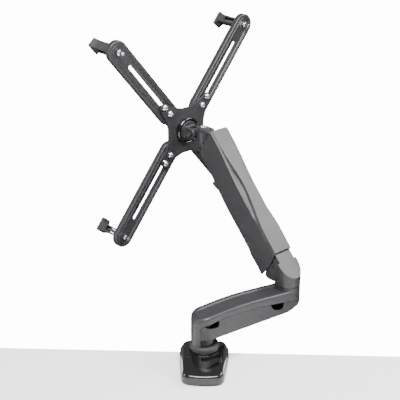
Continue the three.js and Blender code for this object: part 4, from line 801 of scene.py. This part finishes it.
def screw_tree():
    """Screws on a mesh's points: a shank, a head with a cone-shaped shoulder and a hexagon socket."""
    tree = bpy.data.node_groups.new("pan_screws", "GeometryNodeTree")
    tree.interface.new_socket("Points", in_out="INPUT", socket_type="NodeSocketGeometry")
    sizes = {"Shank Radius": 0.0025, "Shank Length": 0.012, "Head Radius": 0.0056, "Head Height": 0.0034,
             "Socket Radius": 0.0024, "Socket Depth": 0.002}
    for label, value in sizes.items():
        tree.interface.new_socket(label, in_out="INPUT", socket_type="NodeSocketFloat").default_value = value
    tree.interface.new_socket("Finish", in_out="INPUT", socket_type="NodeSocketMaterial")
    tree.interface.new_socket("Screws", in_out="OUTPUT", socket_type="NodeSocketGeometry")
    start = node(tree, "NodeGroupInput", (-1400, 0))
    end = node(tree, "NodeGroupOutput", (1200, 0))
    link = tree.links.new

    def maths(operation, a, b):
        made = node(tree, "ShaderNodeMath", operation=operation)
        for socket, value in zip(made.inputs, (a, b)):
            if isinstance(value, float):
                socket.default_value = value
            else:
                link(value, socket)
        return made.outputs[0]

    def moved(mesh, height):
        lift = node(tree, "ShaderNodeCombineXYZ")
        link(height, lift.inputs["Z"])
        made = node(tree, "GeometryNodeTransform")
        link(mesh, made.inputs["Geometry"])
        link(lift.outputs[0], made.inputs["Translation"])
        return made.outputs["Geometry"]

    def column(sides, radius_top, radius_bottom, depth):
        made = node(tree, "GeometryNodeMeshCone", inputs={"Vertices": sides})
        link(radius_top, made.inputs["Radius Top"])
        link(radius_bottom, made.inputs["Radius Bottom"])
        link(depth, made.inputs["Depth"])
        return made.outputs["Mesh"]

    put = start.outputs
    lower = maths("MULTIPLY", put["Head Height"], 0.45)
    upper = maths("MULTIPLY", put["Head Height"], 0.55)
    crown = maths("MULTIPLY", put["Head Radius"], 0.68)
    sunk = maths("MULTIPLY", put["Shank Length"], -1.0)
    shank = moved(column(24, put["Shank Radius"], put["Shank Radius"], put["Shank Length"]), sunk)
    band = column(40, put["Head Radius"], put["Head Radius"], lower)
    cone = moved(column(40, crown, put["Head Radius"], upper), lower)
    socket_floor = maths("SUBTRACT", put["Head Height"], put["Socket Depth"])
    deep = maths("MULTIPLY", put["Socket Depth"], 2.0)
    hexagon = moved(column(6, put["Socket Radius"], put["Socket Radius"], deep), socket_floor)
    whole = node(tree, "GeometryNodeMeshBoolean", operation="UNION", solver="EXACT")
    for part in (shank, band, cone):
        link(part, whole.inputs["Mesh 2"])
    cut = node(tree, "GeometryNodeMeshBoolean", operation="DIFFERENCE", solver="EXACT")
    link(whole.outputs["Mesh"], cut.inputs["Mesh 1"])
    link(hexagon, cut.inputs["Mesh 2"])
    spread = node(tree, "GeometryNodeInstanceOnPoints",
                  inputs={"Rotation": (math.pi / 2, 0.0, 0.0)})
    link(put["Points"], spread.inputs["Points"])
    link(cut.outputs["Mesh"], spread.inputs["Instance"])
    real = node(tree, "GeometryNodeRealizeInstances")
    link(spread.outputs["Instances"], real.inputs["Geometry"])
    coat = node(tree, "GeometryNodeSetMaterial")
    link(real.outputs["Geometry"], coat.inputs["Geometry"])
    link(put["Finish"], coat.inputs["Material"])
    link(coat.outputs["Geometry"], end.inputs["Screws"])
    return tree


pan_screws = screw_tree()


def set_input(modifier, label, value):
    """Sets a tree's input by its socket's identifier."""
    for item in modifier.node_group.interface.items_tree:
        if item.item_type == "SOCKET" and item.in_out == "INPUT" and item.name == label:
            modifier[item.identifier] = value


screw_pitch = math.sqrt(2) * 12.5
for corner, place in arm_places.items():
    seats = bpy.data.meshes.new("screw_seats")
    seats.from_pydata([tuple((place @ Vector((x, -3.6, 0))) * MM) for x in (0, screw_pitch)], [], [])
    screws = linked("plate_screws_" + corner, seats)
    modifier = screws.modifiers.new("screws", "NODES")
    modifier.node_group = pan_screws
    set_input(modifier, "Finish", bright_steel)
    baked(screws)
    eased(screws, 0.25, 2, 40)
    fitted(screws, bright_steel, "fixing_" + corner, "bright_steel", "inner_screw_" + corner, "outer_screw_" + corner)

# ---------------------------------------------------------------- light
# A white room with a large soft light overhead and one at the right.
world = bpy.data.worlds.new("room")
bpy.context.scene.world = world
world.use_nodes = True
room = world.node_tree
place = node(room, "ShaderNodeTexCoord")
split = node(room, "ShaderNodeSeparateXYZ")
room.links.new(place.outputs["Generated"], split.inputs[0])
ceiling = node(room, "ShaderNodeMapRange", interpolation_type="SMOOTHSTEP",
               inputs={"From Min": 0.25, "From Max": 0.85, "To Min": 0.20, "To Max": 0.34})
room.links.new(split.outputs["Z"], ceiling.inputs["Value"])
room.nodes["Background"].inputs["Color"].default_value = (1.0, 1.0, 1.0, 1.0)
room.links.new(ceiling.outputs["Result"], room.nodes["Background"].inputs["Strength"])
backdrop = node(room, "ShaderNodeBackground", inputs={"Color": (1.0, 1.0, 1.0, 1.0), "Strength": 14.0})
seen = node(room, "ShaderNodeLightPath")
either = node(room, "ShaderNodeMixShader")
room.links.new(seen.outputs["Is Camera Ray"], either.inputs["Fac"])
room.links.new(room.nodes["Background"].outputs[0], either.inputs[1])
room.links.new(backdrop.outputs[0], either.inputs[2])
room.links.new(either.outputs[0], room.nodes["World Output"].inputs["Surface"])


def soft_light(name, place, aim, size, power):
    """A square soft light that faces a point."""
    lamp = bpy.data.lights.new(name, "AREA")
    lamp.shape = "RECTANGLE"
    lamp.size, lamp.size_y = size
    lamp.energy = power
    made = linked(name, lamp)
    made.location = place
    made.rotation_euler = (Vector(aim) - Vector(place)).to_track_quat("-Z", "Y").to_euler()
    return made


soft_light("overhead", (-0.5, -0.6, 2.1), (0.1, 0.1, 0.1), (1.2, 1.2), 150.0)
soft_light("right", (1.15, -0.75, 1.3), (0.16, 0.05, 0.25), (1.0, 1.0), 46.0)
soft_light("left", (-1.2, 0.9, 0.7), (0.15, 0.0, 0.2), (0.3, 1.2), 10.0)
